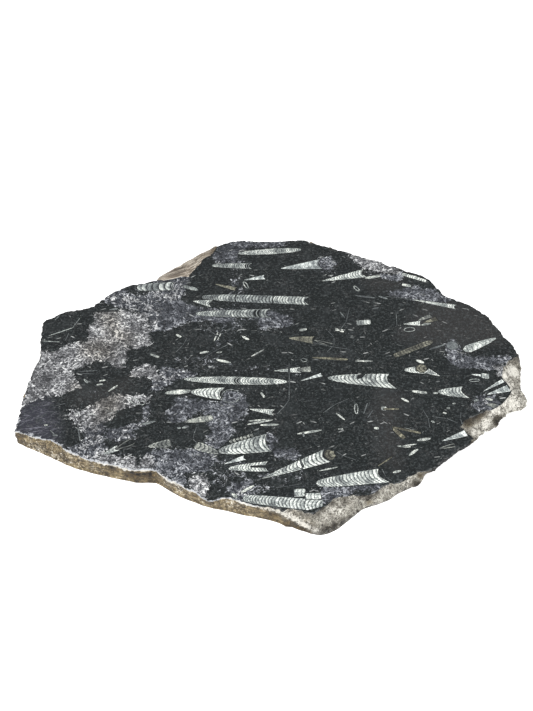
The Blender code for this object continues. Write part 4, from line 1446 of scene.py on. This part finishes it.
def carry_numbers(data, rim_faces, owners):
    """Write what each corner carries of its shell, and what each point carries of zone and break."""
    points = [vert.co.xy / MM for vert in data.vertices]
    corners = []
    for polygon in data.polygons:
        position = polygon.index - rim_faces
        owner = owners[position] if 0 <= position < len(owners) else None
        for vertex in polygon.vertices:
            corners.append(owner.numbers(points[vertex]) if owner else NO_SHELL)
    for name in NO_SHELL:
        write_vectors(data, name, "CORNER", [numbers[name] for numbers in corners])
    stains = stains_on(data)
    zones = []
    breaks = []
    edges = []
    rim = rim_vertices(data, rim_faces)
    for vert, point in zip(data.vertices, points):
        depth = (FACE_LEVEL - vert.co.z) / MM
        polished = vert.co.z > FACE_LEVEL - SAME_PLACE
        zones.append(zone_colour(point) if polished else (0.0, 0.0, 0.0))
        shares = break_shares(vert.co)
        arris = clamp(1.0 - depth / ARRIS_MM)
        bruise = bruise_share(vert.co)
        on_ring = polished and vert.index in rim
        breaks.append((shares["pale"], shares["joint"], shares["dark"]))
        edges.append((float(on_ring), arris, bruise))
    write_vectors(data, "zones", "POINT", zones)
    write_vectors(data, "break_kind", "POINT", breaks)
    write_vectors(data, "edge", "POINT", edges)
    write_vectors(data, "stains", "POINT", stains)


class Unrolling:
    """The rim rolled out flat: how far round a place is, and how far down from the arris."""

    def __init__(self, ring):
        self.radii = [[] for _ in range(UNROLL_STEPS)]
        for place in ring:
            self.radii[int(self.steps_round(place)) % UNROLL_STEPS].append(place.xy.length / MM)
        self.radii = [sum(found) / len(found) if found else 0.0 for found in self.radii]
        for index, radius in enumerate(self.radii):
            if not radius:
                self.radii[index] = self.radii[index - 1]
        corners = []
        for index, radius in enumerate(self.radii + self.radii[:1]):
            angle = 2 * math.pi * index / UNROLL_STEPS
            corners.append(Vector((radius * math.cos(angle), radius * math.sin(angle))))
        self.rounds = [0.0]
        for start, end in zip(corners, corners[1:]):
            self.rounds.append(self.rounds[-1] + (end - start).length)
        self.whole = self.rounds[-1]

    def steps_round(self, place):
        """How many steps round from +X a place is, parts of a step included."""
        return math.atan2(place.y, place.x) / (2 * math.pi) % 1.0 * UNROLL_STEPS

    def flat(self, place):
        """Millimetres round from +X, and millimetres down."""
        steps = self.steps_round(place)
        index = min(int(steps), UNROLL_STEPS - 1)
        share = steps - index
        start, end = self.radii[index], self.radii[(index + 1) % UNROLL_STEPS]
        outward = place.xy.length / MM - start - (end - start) * share
        around = self.rounds[index] + (self.rounds[index + 1] - self.rounds[index]) * share
        return around, math.hypot((FACE_LEVEL - place.z) / MM, max(outward + UNROLL_OFFSET_MM, 0.0))


def nearest_turn(distance, whole):
    """A distance round the rim, taken whichever way is shorter."""
    return (distance + whole / 2) % whole - whole / 2


def lay_texture_map(data, rim_faces):
    """Spread the slab out on its map for baked textures."""
    places = [vert.co.copy() for vert in data.vertices]
    left = min(place.x for place in places)
    scale = MAP_WIDTH / (max(place.x for place in places) - left)
    far = max(place.y for place in places)
    near = min(place.y for place in places)
    rim = rim_vertices(data, rim_faces)
    ring = [places[vertex] for vertex in rim if places[vertex].z > FACE_LEVEL - SAME_PLACE]
    unrolling = Unrolling(ring)
    flats = {vertex: unrolling.flat(places[vertex]) for vertex in rim}
    whole = unrolling.whole
    strip_scale = min(scale * MM, ROUND_FILL * STRIPS / whole)
    margin = (1.0 - MAP_WIDTH) / 2
    spots = []
    for polygon in data.polygons:
        corners = list(polygon.vertices)
        if polygon.index < rim_faces:
            first = flats[corners[0]][0]
            rounds = [first + nearest_turn(flats[corner][0] - first, whole) for corner in corners]
            strip = int(sum(rounds) / len(rounds) / whole * STRIPS) % STRIPS
            start = strip * whole / STRIPS
            top = STRIPS_TOP - strip * STRIP_HEIGHT
            for corner, around in zip(corners, rounds):
                ahead = nearest_turn(around - start, whole)
                down = min(flats[corner][1] * strip_scale, STRIP_HEIGHT * STRIP_FILL)
                spots.append((2 * margin + ahead * strip_scale, top - down))
        elif polygon.material_index == 1:
            for corner in corners:
                place = places[corner]
                spots.append((margin + (place.x - left) * scale, MAP_TOP - (far - place.y) * scale))
        else:
            for corner in corners:
                place = places[corner]
                up = BACK_BOTTOM + (BACK_TOP - BACK_BOTTOM) * (place.y - near) / (far - near)
                spots.append((margin + (place.x - left) * scale, up))
    layer = data.uv_layers.new(name="OFBake")
    layer.data.foreach_set("uv", [number for spot in spots for number in spot])


def make_slab():
    slab = rim_copy()
    break_rim(slab)
    broken_finish().wear(slab)
    polished_finish().wear(slab)
    sawn_finish().wear(slab)
    close_slab(slab)
    only_active(slab)
    bpy.ops.object.shade_smooth_by_angle(angle=SMOOTH_UNDER)
    slab.vertex_groups.clear()
    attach(slab, "root")
    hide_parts("fossil_slab")


def make_floor():
    bpy.ops.object.select_all(action="DESELECT")
    bpy.ops.mesh.primitive_plane_add(size=FLOOR_WIDTH, location=(0.0, 0.0, -FLOOR_GAP))
    floor = bpy.context.object
    floor.name = "floor"
    finish = Finish("pale_floor")
    finish.surface(Base_Color=grey(0.94), Roughness=0.9)
    finish.surface(Emission_Color=grey(1.0), Emission_Strength=0.4)
    finish.wear(floor)


def make_light(name, place, size, watts):
    data = bpy.data.lights.new(name, "AREA")
    data.shape = "SQUARE"
    data.size = size
    data.energy = watts
    light = bpy.data.objects.new(name, data)
    light.location = place
    light.rotation_euler = (Vector(place) - AIM).to_track_quat("Z", "Y").to_euler()
    bpy.context.scene.collection.objects.link(light)


def make_light_setup():
    world = bpy.data.worlds.new("studio")
    world.use_nodes = True
    background = world.node_tree.nodes["Background"]
    background.inputs["Color"].default_value = (1.0, 1.0, 1.0, 1.0)
    background.inputs["Strength"].default_value = 0.38
    bpy.context.scene.world = world
    bpy.context.scene.view_settings.view_transform = "Standard"
    make_light("key", (-1.5, -1.5, 2.5), 2.2, 71.0)
    make_light("fill", (1.7, -1.4, 2.3), 2.2, 61.0)
    make_light("top", (0.0, -1.8, 2.7), 1.4, 40.0)


make_camera()
make_light_setup()
make_floor()
make_slab()
